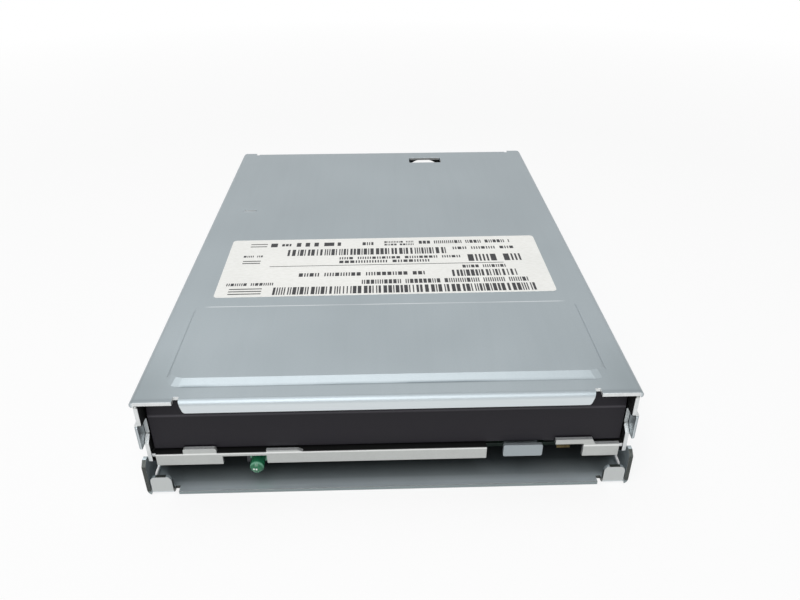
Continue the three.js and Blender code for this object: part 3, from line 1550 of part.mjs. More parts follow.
// A shaft of stations along Y; on its threaded stretch one corner of each station is drawn in, so that a
// groove winds round it.
function leadScrew() {
  const front = strapFronts.front - nest;
  const threadFront = front + strapWidth + running;
  const threadRear = stepperFront - gauge - running;
  const rear = stepperFront + journalLength - running;
  const count = Math.floor(((threadRear - threadFront) / screwLead) * threadSides);
  const step = (threadRear - threadFront) / count;
  const threadYs = Array.from({ length: count + 1 }, (_, i) => threadFront + step * i);
  const plain = (y) => ({ y, radii: new Array(threadSides).fill(journalRadius) });
  const grooved = (y, i) => ({
    y,
    radii: Array.from({ length: threadSides }, (_, k) => (
      (k + i) % threadSides === 0 ? screwRadius - threadDepth : screwRadius)),
  });
  const stations = [plain(front), plain(threadFront), ...threadYs.map(grooved), plain(threadRear),
    plain(rear)];
  const place = stations.map(({ y, radii }) => radii.map((radius, k) => {
    const turn = (2 * Math.PI * k) / threadSides;
    return [screwX + radius * Math.sin(turn), y, rodZ + radius * Math.cos(turn)];
  }));
  const faces = [];
  const last = (stations.length - 1) * threadSides;
  for (let k = 1; k < threadSides - 1; k += 1) {
    faces.push(0, k + 1, k, last, last + k, last + k + 1);
  }
  for (let i = 0; i < stations.length - 1; i += 1) {
    for (let k = 0; k < threadSides; k += 1) {
      const from = i * threadSides + k;
      const next = i * threadSides + ((k + 1) % threadSides);
      faces.push(from, next, next + threadSides, from, next + threadSides, from + threadSides);
    }
  }
  const geometry = new THREE.BufferGeometry();
  geometry.setAttribute('position', new THREE.Float32BufferAttribute(place.flat(2), 3));
  geometry.setIndex(faces);
  return solid(geometry);
}

function stepperMotor() {
  return cut(
    join(
      lengthwise(circle(stepperX, stepperZ, stepperRadius), stepperFront, stepperFront + stepperLength),
      block(stepperX - terminalHalf, stepperX + terminalHalf, stepperFront + stepperLength / 2,
        stepperFront + stepperLength, stepperZ, stepperZ + stepperRadius + terminalHeight / 2),
    ),
    lengthwise(circle(stepperX, stepperZ, journalRadius + nest, smallSides), stepperFront - overrun,
      stepperFront + journalLength),
  );
}

function stepperBracket() {
  const plate = outline([
    [stepperX - stepperRadius, bracketLow, gauge], [stepperX + stepperRadius, bracketLow, gauge],
    [stepperX + stepperRadius, deckTop], [stepperX + bracketEarOuter, deckTop],
    [stepperX + bracketEarOuter, deckTop + gauge], [stepperX + stepperRadius, bracketTop, gauge],
    [stepperX - stepperRadius, bracketTop, gauge], [stepperX - bracketEarOuter, deckTop + gauge],
    [stepperX - bracketEarOuter, deckTop], [stepperX - stepperRadius, deckTop],
  ]);
  const ears = [-1, 1].map((side) => {
    const edges = [stepperX + side * (stepperRadius + running + gauge), stepperX + side * bracketEarOuter];
    const [from, to] = edges.sort((a, b) => a - b);
    return block(from, to, stepperFront - gauge, bracketEarRear, deckTop, deckTop + gauge);
  });
  return cut(
    join(lengthwise(plate, stepperFront - gauge, stepperFront), ears),
    lengthwise(circle(stepperX, stepperZ, motorBossRadius, smallSides), stepperFront - overrun,
      stepperFront + overrun),
    bracketScrews.map((x) => upright(circle(x, bracketScrewY, threadRadius + nest, smallSides), 0,
      deckTop + overrun)),
  );
}

function screwBearing() {
  const y = strapFronts.front;
  return cut(
    block(screwX - bearingBlockHalf, screwX + bearingBlockHalf, y, y + strapWidth, bearingBlockLow,
      deckUnder),
    lengthwise(circle(screwX, rodZ, journalRadius + nest, smallSides), y - overrun, y + strapWidth + overrun),
  );
}

pressed('lead_screw', leadScrew(), 'brightSteel');
pressed('screw_bearing', screwBearing(), 'whitePlastic');
pressed('stepper_motor', stepperMotor(), 'brightSteel');
pressed('stepper_bracket', stepperBracket(), 'frameSteel');

// Main board behind the spindle, with its chip, connectors, track-zero sensor and the head ribbon's socket.

const mainBoardInset = 6.8;
const mainBoardHalf = halfWidth - mainBoardInset;
const mainBoardRearToRear = 2.4;
const mainBoardRear = overallLength - mainBoardRearToRear;
const chipInset = 14.8;
const chipX = chipInset - halfWidth;
const chipToRear = 33;
const chipY = overallLength - chipToRear;
const chipHalf = 6;
const chipHeight = 1.6;
const leadCount = 8;
const leadPitch = 1.27;
const leadWidth = 0.5;
const leadReach = 1.1;
const leadGauge = 0.25;
const sensorFloor = 0.6;
const forkHalf = 2;
const forkSlotHalf = 0.8;
const forkFrontToRear = 35;
const forkFront = overallLength - forkFrontToRear;
const forkRearToRear = 31;
const forkRear = overallLength - forkRearToRear;
const forkTop = 6.3;
const socketHalf = 4;
const socketFrontToRear = 15.6;
const socketFront = overallLength - socketFrontToRear;
const socketRearToRear = 13.2;
const socketRear = overallLength - socketRearToRear;
const socketTop = 5.1;
const ribbonGauge = 0.2;
const ribbonBend = 1.2;
const ribbonFrontToRear = 28.6;
const ribbonFront = overallLength - ribbonFrontToRear;
const ribbonDropToRear = 14.4;
const ribbonDropY = overallLength - ribbonDropToRear;
const connectorDepth = 10.3;
const powerDepth = 8.8;
const shroudWall = 1.1;
const dataEndWall = 2.6;
const dataPinMargin = 3.08;
const dataPinColumns = 17;
const powerPinMargin = 1.05;
const powerPinColumns = 4;
const pinRowPitch = 2.54;
const pinWidth = 0.64;
const pinRecess = 1.4;
const keyHalf = 2.2;

function mainBoard() {
  const bore = ([x, y]) => upright(circle(x, y, threadRadius + nest, smallSides), 0, mainBoardTop + overrun);
  return cut(
    block(-mainBoardHalf, mainBoardHalf, mainBoardFront, mainBoardRear, boardUnder, mainBoardTop),
    mainPosts.map(bore),
    block(stepperX - stepperRadius - running, stepperX + stepperRadius + running,
      stepperFront - gauge - running, mainBoardRear + overrun, 0, mainBoardTop + overrun),
  );
}

function controllerChip() {
  const body = block(chipX - chipHalf, chipX + chipHalf, chipY - chipHalf, chipY + chipHalf,
    mainBoardTop + leadGauge, mainBoardTop + chipHeight);
  const reach = chipHalf + leadReach;
  const rows = Array.from({ length: leadCount }, (_, i) => chipY + (i - (leadCount - 1) / 2) * leadPitch);
  const leads = rows.map((y) => block(chipX - reach, chipX + reach, y - leadWidth / 2, y + leadWidth / 2,
    mainBoardTop, mainBoardTop + chipHeight / 2));
  return join(body, leads);
}

// A shrouded pin header that opens to the rear.
function header(middle, half, height, depth, cavityHalf, rows, columns, margin) {
  const low = mainBoardTop;
  const floor = connectorY - depth + 2 * shroudWall;
  const pitch = (2 * (cavityHalf - margin)) / (columns - 1);
  const across = Array.from({ length: columns }, (_, i) => middle + (i - (columns - 1) / 2) * pitch);
  const up = Array.from({ length: rows }, (_, i) => low + height / 2 + (i - (rows - 1) / 2) * pinRowPitch);
  const pins = up.map((z) => across.map((x) => block(x - pinWidth / 2, x + pinWidth / 2, floor - shroudWall,
    connectorY - pinRecess, z - pinWidth / 2, z + pinWidth / 2))).flat();
  const shell = cut(
    block(middle - half, middle + half, connectorY - depth, connectorY, low, low + height),
    block(middle - cavityHalf, middle + cavityHalf, floor, connectorY + overrun, low + shroudWall,
      low + height - shroudWall),
    block(middle - keyHalf, middle + keyHalf, floor + shroudWall, connectorY + overrun, low + height / 2,
      low + height + overrun),
  );
  return join(shell, pins);
}

function trackSensor() {
  return cut(
    block(flagX - forkHalf, flagX + forkHalf, forkFront, forkRear, mainBoardTop, forkTop),
    block(flagX - forkSlotHalf, flagX + forkSlotHalf, forkFront - overrun, forkRear + overrun,
      mainBoardTop + sensorFloor, forkTop + overrun),
  );
}

pressed('main_board', mainBoard(), 'board');
pressed('controller_chip', controllerChip(), 'blackPlastic');
pressed('data_connector', header(dataX, dataHalf, dataHeight, connectorDepth, dataHalf - dataEndWall, 2,
  dataPinColumns, dataPinMargin), 'blackPlastic');
pressed('power_connector', header(powerX, powerHalf, powerHeight, powerDepth, powerHalf - shroudWall, 1,
  powerPinColumns, powerPinMargin), 'whitePlastic');
pressed('track_zero_sensor', trackSensor(), 'blackPlastic');
pressed('ribbon_socket', block(-socketHalf, socketHalf, socketFront, socketRear, mainBoardTop, socketTop),
  'whitePlastic');
pressed('head_ribbon', crosswise(folded([[ribbonDropY, socketTop], [ribbonDropY, carriageTop + ribbonGauge],
  [ribbonFront, carriageTop + ribbonGauge]], ribbonGauge, ribbonBend), -ribbonHalf, ribbonHalf), 'film');

// Activity lamp in its holder on the front edge of the motor board.

const lampInset = 23.2;
const lampX = lampInset - halfWidth;
const lampZ = 6;
const lampRadius = 1.5;
const lampFront = 0.2;
const lampRear = 5.4;
const lampRim = 0.8;
const lampRimRadius = 1.9;
const lampDomeSteps = 5;
const holderBlockHalf = 2.9;
const holderBlockRear = 12;
const holderBlockTop = 8;

function ledLamp() {
  const dome = Array.from({ length: lampDomeSteps + 1 }, (_, i) => {
    const turn = (Math.PI / 2) * (i / lampDomeSteps);
    return [lampRadius * Math.sin(turn), lampFront + lampRadius * (1 - Math.cos(turn))];
  });
  return turnedAlongY([...dome, [lampRadius, lampRear - lampRim], [lampRimRadius, lampRear - lampRim],
    [lampRimRadius, lampRear], [0, lampRear]], roundSides, lampX, lampZ);
}

pressed('led_lamp', ledLamp(), 'greenLens');
pressed('led_holder', block(lampX - holderBlockHalf, lampX + holderBlockHalf, lampRear, holderBlockRear,
  boardTop, holderBlockTop), 'blackPlastic');

// Switches on the motor board: two plungers that feel the disk's corner holes, and a leaf at the right front.

const switchHalf = 2.5;
const switchLength = 6;
const switchTop = 8.7;
const switchWell = 5.2;
const plungerFoot = 6.7;
const plungerTop = 12.4;
const diskSwitchFromInset = 16.4;
const diskSwitchFrom = halfWidth - diskSwitchFromInset;
const diskSwitchToInset = 11.2;
const diskSwitchTo = halfWidth - diskSwitchToInset;
const diskSwitchFront = 9.8;
const diskSwitchRear = 15;
const diskSwitchTop = 7.4;
const contactFromInset = 15.6;
const contactFrom = halfWidth - contactFromInset;
const contactToInset = 12.8;
const contactTo = halfWidth - contactToInset;
const contactGauge = 0.25;
const contactTipY = 3.2;
const contactTipZ = 9.1;
const contactRootY = 12.6;
const contactBendY = 9.4;
const contactHookDrop = 0.7;

function plungerSwitch(side) {
  return cut(
    blockOn(side, sensorX - switchHalf, sensorX + switchHalf, sensorY - switchLength / 2,
      sensorY + switchLength / 2, boardTop, switchTop),
    upright(circle(side * sensorX, sensorY, plungerRadius + running, smallSides), switchWell,
      switchTop + overrun),
  );
}

function plunger(side) {
  return upright(circle(side * sensorX, sensorY, plungerRadius, smallSides), plungerFoot, plungerTop);
}

pressed('write_protect_switch', plungerSwitch(-1), 'blackPlastic');
pressed('write_protect_plunger', plunger(-1), 'whitePlastic');
pressed('density_switch', plungerSwitch(1), 'blackPlastic');
pressed('density_plunger', plunger(1), 'whitePlastic');
pressed('disk_switch', block(diskSwitchFrom, diskSwitchTo, diskSwitchFront, diskSwitchRear, boardTop,
  diskSwitchTop), 'blackPlastic');
pressed('contact_leaf', crosswise(folded([[contactRootY, diskSwitchTop + contactGauge],
  [contactBendY, diskSwitchTop + contactGauge], [contactTipY, contactTipZ],
  [contactTipY - contactHookDrop, contactTipZ - contactHookDrop]], contactGauge, contactGauge / 2),
contactFrom, contactTo), 'brass');

// Screws

const boardScrewReach = 5;
const footScrewReach = 1.5;
const bracketScrewShank = 3;

motorPosts.forEach(([x, y], i) => {
  pressed(`motor_board_screw_${i + 1}`, screwAlongZ(x, y, boardUnder, boardScrewReach, -1), 'brightSteel');
});
mainPosts.forEach(([x, y], i) => {
  pressed(`main_board_screw_${i + 1}`, screwAlongZ(x, y, boardUnder, boardScrewReach, -1), 'brightSteel');
});
bracketScrews.forEach((x, i) => {
  pressed(`bracket_screw_${i + 1}`, screwAlongZ(x, bracketScrewY, deckTop + gauge, bracketScrewShank, 1),
    'brightSteel');
});
[-1, 1].forEach((side) => footScrewRows.forEach((y) => {
  const place = side < 0 ? 'left' : 'right';
  const row = y === footScrewRows[0] ? 'front' : 'rear';
  pressed(`frame_screw_${place}_${row}`, screwAlongZ(side * footScrewX, y, 2 * gauge, footScrewReach, 1),
    'brightSteel');
}));

export default drive;
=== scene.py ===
import json
import math
import random

import bpy
from mathutils import Matrix, Vector


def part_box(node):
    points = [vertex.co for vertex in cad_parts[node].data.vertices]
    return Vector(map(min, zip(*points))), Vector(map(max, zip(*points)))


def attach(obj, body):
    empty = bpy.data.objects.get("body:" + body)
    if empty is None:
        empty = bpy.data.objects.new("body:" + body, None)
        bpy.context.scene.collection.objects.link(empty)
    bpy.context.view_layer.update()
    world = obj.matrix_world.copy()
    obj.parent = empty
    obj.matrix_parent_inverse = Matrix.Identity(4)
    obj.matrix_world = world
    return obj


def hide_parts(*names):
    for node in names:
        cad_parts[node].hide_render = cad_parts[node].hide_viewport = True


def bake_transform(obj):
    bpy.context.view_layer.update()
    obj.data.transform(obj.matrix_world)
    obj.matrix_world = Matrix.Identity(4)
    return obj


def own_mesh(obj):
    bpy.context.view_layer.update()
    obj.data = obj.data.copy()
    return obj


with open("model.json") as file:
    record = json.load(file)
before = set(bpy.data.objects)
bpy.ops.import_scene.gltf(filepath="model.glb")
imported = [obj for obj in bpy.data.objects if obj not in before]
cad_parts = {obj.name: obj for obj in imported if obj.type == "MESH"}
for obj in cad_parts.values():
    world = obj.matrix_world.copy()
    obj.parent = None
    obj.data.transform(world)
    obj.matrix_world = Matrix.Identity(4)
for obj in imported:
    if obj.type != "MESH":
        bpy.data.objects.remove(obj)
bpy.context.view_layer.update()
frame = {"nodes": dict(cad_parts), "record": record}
random.seed(7)

# Camera: the photograph's own viewpoint, a little left of the middle and 31 degrees above the table, as found
# from the corners of the cover, the lip and the tray.
eye = Vector((-0.000708, -0.178849, 0.111711))
heading, elevation, roll = 0.0279, 0.5417, -0.0031
flat_ahead = Vector((math.sin(heading), math.cos(heading), 0))
ahead = flat_ahead * math.cos(elevation) - Vector((0, 0, math.sin(elevation)))
level = Vector((math.cos(heading), -math.sin(heading), 0))
upward = level.cross(ahead)
right_hand = level * math.cos(roll) + upward * math.sin(roll)
overhead = upward * math.cos(roll) - level * math.sin(roll)
camera_data = bpy.data.cameras.new("camera")
camera_data.sensor_width = 36
camera_data.lens = 31.81
camera_data.clip_start = 0.005
camera = bpy.data.objects.new("camera", camera_data)
camera.matrix_world = Matrix.Translation(eye) @ Matrix((right_hand, overhead, -ahead)).transposed().to_4x4()
bpy.context.scene.collection.objects.link(camera)
bpy.context.scene.camera = camera
bpy.context.scene.view_settings.view_transform = "Standard"


# Top cover: one pressing of zinc-coated steel sheet, 0.8 mm thick, with a raised panel at the front, a turned-down
# lip, side flanges and a rear flange. It clips over the frame. Its faces are satin blue-grey with faint rolling
# marks; the cut edges are bare steel, painted near white as a painted highlight.

def linear(red, green, blue):
    """Shader colour of a screen colour given in 0 to 255."""
    def one(value):
        share = value / 255
        return share / 12.92 if share <= 0.04045 else ((share + 0.055) / 1.055) ** 2.4
    return (one(red), one(green), one(blue), 1)


def chain(tree, operation, first, second=0.0):
    """One Math node between two sockets, or a socket and a number."""
    made = tree.nodes.new("ShaderNodeMath")
    made.operation = operation
    for socket, source in zip(made.inputs, (first, second)):
        if isinstance(source, (int, float)):
            socket.default_value = source
        else:
            tree.links.new(source, socket)
    return made.outputs["Value"]


class Finish:
    """A material on the Principled shader, with short calls for the patterns that drive it."""

    def __init__(self, name, colour, roughness, metallic=0.0, **sockets):
        self.material = bpy.data.materials.new(name)
        self.material.use_nodes = True
        self.tree = self.material.node_tree
        self.shader = self.tree.nodes["Principled BSDF"]
        self.base = None
        self.bumps = None
        self.place = self.node("ShaderNodeTexCoord").outputs["Object"]
        self.colour = linear(*colour)
        self.shader.inputs["Base Color"].default_value = self.colour
        self.shader.inputs["Roughness"].default_value = roughness
        self.shader.inputs["Metallic"].default_value = metallic
        for socket, value in sockets.items():
            self.shader.inputs[socket.replace("_", " ")].default_value = value

    def node(self, kind, **settings):
        """Adds a shader node with these settings."""
        made = self.tree.nodes.new(kind)
        for key, value in settings.items():
            setattr(made, key, value)
        return made

    def stretched(self, scale, turn=(0, 0, 0), centre=(0, 0, 0)):
        """Object coordinates from a centre, turned and scaled by axis, for a pattern longer one way."""
        shift = self.node("ShaderNodeVectorMath", operation="SUBTRACT")
        shift.inputs[1].default_value = centre
        self.tree.links.new(self.place, shift.inputs[0])
        mapping = self.node("ShaderNodeMapping")
        mapping.inputs["Scale"].default_value = scale
        mapping.inputs["Rotation"].default_value = turn
        self.tree.links.new(shift.outputs["Vector"], mapping.inputs["Vector"])
        return mapping.outputs["Vector"]

    def noise(self, scale, detail=3, roughness=0.5, place=None):
        """Noise with so many cells to the metre, or with a scale of 1 as its stretched place sets."""
        made = self.node("ShaderNodeTexNoise")
        made.inputs["Scale"].default_value = scale
        made.inputs["Detail"].default_value = detail
        made.inputs["Roughness"].default_value = roughness
        self.tree.links.new(place or self.place, made.inputs["Vector"])
        return made.outputs["Fac"]

    def spread(self, source, low, high, start=0.3, end=0.7):
        """Runs from low to high while the pattern runs from start to end, and holds beyond."""
        made = self.node("ShaderNodeMapRange")
        made.inputs["From Min"].default_value = start
        made.inputs["From Max"].default_value = end
        made.inputs["To Min"].default_value = low
        made.inputs["To Max"].default_value = high
        self.tree.links.new(source, made.inputs["Value"])
        return made.outputs["Result"]

    def along(self, axis):
        """One of the three Object coordinates."""
        parts = self.node("ShaderNodeSeparateXYZ")
        self.tree.links.new(self.place, parts.inputs["Vector"])
        return parts.outputs[axis]

    def away(self, axis, middle=0.0):
        """Distance from a place along an axis."""
        return chain(self.tree, "ABSOLUTE", chain(self.tree, "SUBTRACT", self.along(axis), middle))

    def band(self, axis, middle, reach):
        """1 at one place along an axis, falling to 0 over a reach on both sides."""
        return self.ramp(self.away(axis, middle), reach, 0)

    def ramp(self, source, start, end):
        """0 up to the start and 1 from the end on; the start may be the higher of the two."""
        return self.spread(source, 0, 1, start, end)

    def product(self, *sources):
        """The masks multiplied, so that only where all of them hold is left."""
        result = sources[0]
        for source in sources[1:]:
            result = chain(self.tree, "MULTIPLY", result, source)
        return result

    def tint(self, source, colour, amount, start=0.3, end=0.7):
        """Mixes another colour in where the pattern is high; calls stack."""
        mix = self.node("ShaderNodeMix", data_type="RGBA")
        self.tree.links.new(self.spread(source, 0, amount, start, end), mix.inputs["Factor"])
        if self.base is None:
            mix.inputs["A"].default_value = self.colour
        else:
            self.tree.links.new(self.base, mix.inputs["A"])
        mix.inputs["B"].default_value = linear(*colour)
        self.base = mix.outputs["Result"]
        self.tree.links.new(self.base, self.shader.inputs["Base Color"])
        return self

    def gloss(self, source, low, high, start=0.3, end=0.7):
        """Lets the pattern set the roughness, from low to high."""
        wanted = self.spread(source, low, high, start, end)
        self.tree.links.new(wanted, self.shader.inputs["Roughness"])
        return self

    def bump(self, source, depth):
        """Raises the pattern by a depth in metres; calls stack."""
        made = self.node("ShaderNodeBump")
        made.inputs["Distance"].default_value = depth
        self.tree.links.new(source, made.inputs["Height"])
        if self.bumps is not None:
            self.tree.links.new(self.bumps, made.inputs["Normal"])
        self.bumps = made.outputs["Normal"]
        self.tree.links.new(self.bumps, self.shader.inputs["Normal"])
        return self


def coated_sheet(name, colour, light, dark, roughness=0.4):
    """Zinc-coated sheet: broad blotches, faint rolling marks along the drive, fine grain and rubbed patches."""
    made = Finish(name, colour, roughness, 0.7)
    blotch = made.noise(34, 2)
    rolling = made.noise(1, 2, place=made.stretched((420, 26, 420)))
    grain = made.noise(2400, 2)
    rubbed = made.noise(1, 4, 0.7, made.stretched((60, 240, 60), (0, 0, 0.6)))
    made.tint(blotch, light, 0.45).tint(rolling, dark, 0.12, 0.45, 0.75).tint(grain, dark, 0.14, 0.35, 0.65)
    made.tint(rubbed, light, 0.22, 0.66, 0.78)
    made.gloss(blotch, roughness - 0.04, roughness + 0.05)
    return made.bump(grain, 0.000004).bump(rolling, 0.000002)


def cut_metal(name, colour, worn):
    """The sheared edge of a sheet: fine lines across its thickness, with burnt or bright patches."""
    made = Finish(name, colour, 0.38, 0.7)
    shear = made.noise(1, 2, place=made.stretched((2600, 2600, 300)))
    made.tint(shear, worn, 0.3).tint(made.noise(240, 3), worn, 0.5, 0.5, 0.65)
    return made.bump(shear, 0.000006)


def pick(*pieces):
    """Selects these objects and nothing else, with the first one active."""
    if bpy.context.object and bpy.context.object.mode != "OBJECT":
        bpy.ops.object.mode_set(mode="OBJECT")
    bpy.ops.object.select_all(action="DESELECT")
    for piece in pieces:
        piece.select_set(True)
    if pieces:
        bpy.context.view_layer.objects.active = pieces[0]


def applied(piece, kind, **settings):
    """Gives the piece a modifier with these settings and applies it."""
    pick(piece)
    made = piece.modifiers.new(kind.lower(), kind)
    for key, value in settings.items():
        setattr(made, key, value)
    bpy.ops.object.modifier_apply(modifier=made.name)
    return piece


def girth(mesh, face):
    """Length round a face."""
    corners = [mesh.vertices[index].co for index in face.vertices]
    return sum((corner - corners[place - 1]).length for place, corner in enumerate(corners))


def beside(mesh):
    """The faces on either side of each edge, by the edge's key."""
    sides = {}
    for face in mesh.polygons:
        for key in face.edge_keys:
            sides.setdefault(key, []).append(face)
    return sides


SHARP_ANGLE = math.radians(40)
CREASE_ANGLE = 0.1


def rounded(piece, edge, broad=None):
    """Rounds the sharp edges, and shades the rest so that broad flat faces stay flat.

    Where two faces wider than broad meet at a shallow crease, it stays crisp.
    """
    if edge:
        applied(piece, "BEVEL", width=edge, segments=2, limit_method="ANGLE", angle_limit=SHARP_ANGLE)
    pick(piece)
    bpy.ops.object.shade_smooth_by_angle(angle=SHARP_ANGLE)
    if broad:
        mesh = piece.data
        sides = beside(mesh)

        def is_crisp(faces):
            return (len(faces) == 2 and faces[0].normal.angle(faces[1].normal) > CREASE_ANGLE
                    and all(2 * face.area > broad * girth(mesh, face) for face in faces))

        crisp = [is_crisp(sides[line.key]) for line in mesh.edges]
        for line, wanted in zip(mesh.edges, crisp):
            if wanted:
                line.use_edge_sharp = True
    return applied(piece, "WEIGHTED_NORMAL", weight=100, keep_sharp=True)


SQUARE_DOT = 0.5
SQUARE_SHARE = 0.6


def cut_faces(mesh):
    """The sheet's cut edges: narrow strips whose long sides meet their neighbours squarely."""
    sides = beside(mesh)

    def meets_squarely(face, key):
        return all(abs(other.normal.dot(face.normal)) < SQUARE_DOT for other in sides[key] if other != face)

    found = []
    for face in mesh.polygons:
        square = sum((mesh.vertices[first].co - mesh.vertices[second].co).length
                     for first, second in face.edge_keys if meets_squarely(face, (first, second)))
        around = girth(mesh, face)
        if 2 * face.area < SHEET_EDGE * around and square > SQUARE_SHARE * around:
            found.append(face)
    return found


MERGE_REACH = 0.000004
FLAT_ANGLE = math.radians(1)


def dressed(node, name, slot, material, edge=0.0, second=None, chosen=None, broad=None, riding=True):
    """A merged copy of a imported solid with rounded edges, which stands for it and rides on its body.

    The faces that chosen(mesh) lists take the second material. A piece that bends between two bodies doesn't ride.
    """
    source = frame["nodes"][node]
    piece = source.copy()
    piece.data = source.data.copy()
    for key in list(piece.keys()):
        if key.startswith("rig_"):
            del piece[key]
    piece.name = name
    piece.parent = None
    bpy.context.scene.collection.objects.link(piece)
    pick(piece)
    bpy.ops.object.mode_set(mode="EDIT")
    bpy.ops.mesh.select_all(action="SELECT")
    bpy.ops.mesh.remove_doubles(threshold=MERGE_REACH)
    bpy.ops.mesh.dissolve_limited(angle_limit=FLAT_ANGLE)
    bpy.ops.object.mode_set(mode="OBJECT")
    piece.data.materials.clear()
    piece.data.materials.append(material)
    if second:
        piece.data.materials.append(second)
        for face in chosen(piece.data):
            face.material_index = 1
    rounded(piece, edge, broad)
    if riding:
        bodies = frame["record"]["behaviour"]["bodies"]
        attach(piece, next(body for body in bodies if node in bodies[body]))
    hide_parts(node)
    return piece


# Strips narrower than SHEET_EDGE count as a sheet's cut edges, and creases between faces wider than CREASED stay
# crisp. The other four are widths of rounded edges.
SHEET_EDGE, CREASED = 0.00105, 0.0007
WIDE_ROUND, PLAIN_ROUND, SMALL_ROUND, FINE_ROUND = 0.00012, 0.0001, 0.00008, 0.00005
cover_metal = coated_sheet("cover_metal", (172, 182, 187), (182, 191, 195), (160, 170, 175))

# The raised panel's rear crease catches the light and its foot lies in shade, both unevenly.
PANEL_REAR, REAR_REACH = -0.0369, 0.00055
PANEL_FOOT, FOOT_REACH = -0.0662, 0.0005
PANEL_SIDE, PANEL_FADE = 0.0425, 0.0017
drift = cover_metal.noise(50, 1)
for y, reach, colour, amount in (
    (PANEL_REAR, REAR_REACH, (252, 254, 255), 1),
    (PANEL_FOOT, FOOT_REACH, (84, 96, 102), 0.7),
):
    crease = cover_metal.product(
        cover_metal.band("Y", y, reach), cover_metal.spread(drift, 0.4, 1, 0.35, 0.55),
        cover_metal.ramp(cover_metal.away("X"), PANEL_SIDE, PANEL_SIDE - PANEL_FADE))
    cover_metal.tint(crease, colour, amount, 0, 1)

# The front corners grow darker over these stretches, forwards and outwards.
CORNER_Y, CORNER_X = (-0.052, -0.066), (0.038, 0.048)
corner = cover_metal.product(cover_metal.ramp(cover_metal.along("Y"), *CORNER_Y),
                             cover_metal.ramp(cover_metal.away("X"), *CORNER_X))
cover_metal.tint(corner, (154, 164, 168), 0.75, 0, 1)

# A short painted highlight lies at the front of the slit. The lip's bend has painted shade, and its face has
# painted light.
SLIT_FRONT, SLIT_REACH = 0.0191, 0.0005
SLIT_MIDDLE, SLIT_HALF = -0.0405, 0.0018
LIP_FACE, LIP_FADE = -0.071, (0.0002, 0.00001)
LIP_BEND, LIP_REACH = -0.0702, 0.0007
by_slit = chain(cover_metal.tree, "LESS_THAN", cover_metal.away("X", SLIT_MIDDLE), SLIT_HALF)
slit_highlight = cover_metal.product(cover_metal.band("Y", SLIT_FRONT, SLIT_REACH), by_slit)
# Painted highlight: a short light line at the front of the slit.
cover_metal.tint(slit_highlight, (204, 212, 216), 0.8, 0, 1)
# Painted shade: the lip's bend is painted darker to dim its highlight.
cover_metal.tint(cover_metal.band("Y", LIP_BEND, LIP_REACH), (140, 149, 154), 0.6, 0, 1)
# Painted light: the lip's face is painted lighter, as if lit by the bright room in front.
lip_start, lip_end = (LIP_FACE + fade for fade in LIP_FADE)
cover_metal.tint(cover_metal.along("Y"), (212, 219, 222), 1, lip_start, lip_end)
# The cut edges of the cover and the frame are bare steel with a painted highlight: near white, as if catching the
# light.
bare_edge_highlight = cut_metal("bare_edge_highlight", (226, 229, 229), (198, 201, 202)).material
dressed("top_cover", "cover_sheet", "cover_steel", cover_metal.material, WIDE_ROUND, bare_edge_highlight,
        cut_faces, CREASED)


# Label: a paper sticker on the cover, between the panel and the rear. What is printed on it is plain: rows of
# short bars, groups of upright bars and one rule, in black ink that stands a little proud of the paper.
paper = Finish("label_paper", (252, 252, 249), 0.6)
fibre = paper.noise(1, 3, place=paper.stretched((900, 2400, 900)))
paper.tint(fibre, (228, 228, 221), 0.5).tint(paper.noise(45, 2), (230, 231, 228), 0.4)
paper.gloss(fibre, 0.52, 0.68).bump(fibre, 0.000008)
PAPER_ROUND = 0.00003
dressed("cover_label", "label_sheet", "paper", paper.material, PAPER_ROUND)

ink = Finish("label_ink", (40, 41, 44), 0.5)
ink_drift = ink.noise(1400, 3)
ink.tint(ink_drift, (84, 85, 88), 0.5, 0.5, 0.7).gloss(ink_drift, 0.42, 0.6).bump(ink_drift, 0.000004)

LABEL_TURN = math.radians(0.4)
LABEL_HALF_DEPTH = 0.01545
INK_RISE = 0.00002
label_low, label_high = (Vector(corner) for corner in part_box("cover_label"))
label_middle = (label_low + label_high) / 2


def printed_row(left, right, low, high, pitch, kept):
    """A strip of flat bars, in millimetres from the label's middle and its front edge.

    A grid one cell high is added, and the columns for which kept() is false are deleted.
    """
    pick()
    cells = max(1, round((right - left) / pitch))
    bpy.ops.mesh.primitive_grid_add(x_subdivisions=cells, y_subdivisions=1, size=1)
    row = bpy.context.object
    row.scale = ((right - left) / 1000, (high - low) / 1000, 1)
    row.location = ((left + right) / 2000, (low + high) / 2000 - LABEL_HALF_DEPTH, 0)
    bpy.ops.object.transform_apply(location=True, rotation=True, scale=True)
    columns = sorted({round(face.center.x, 7) for face in row.data.polygons})
    gone = {column for column in columns if not kept()}
    bpy.ops.object.mode_set(mode="EDIT")
    bpy.ops.mesh.select_mode(type="FACE")
    bpy.ops.mesh.select_all(action="DESELECT")
    bpy.ops.object.mode_set(mode="OBJECT")
    for face in row.data.polygons:
        face.select = round(face.center.x, 7) in gone
    bpy.ops.object.mode_set(mode="EDIT")
    bpy.ops.mesh.delete(type="FACE")
    bpy.ops.object.mode_set(mode="OBJECT")
    return row


def upright_bars():
    """Bars and gaps one to three cells wide, in turn."""
    state = {"on": True, "left": 2}

    def kept():
        if state["left"] == 0:
            state["on"] = not state["on"]
            state["left"] = random.choice((1, 1, 2, 3) if state["on"] else (1, 1, 2))
        state["left"] -= 1
        return state["on"]
    return kept


def word_bars():
    """Runs of short bars with a gap after each, and a wider gap after every few."""
    queue = []

    def kept():
        if not queue:
            for _ in range(random.randint(3, 9)):
                queue.extend(random.choice(([True, False, True, False], [True, True, True, False])))
            queue.extend([False, False, False])
        return queue.pop(0)
    return kept


def solid_bar():
    return lambda: True


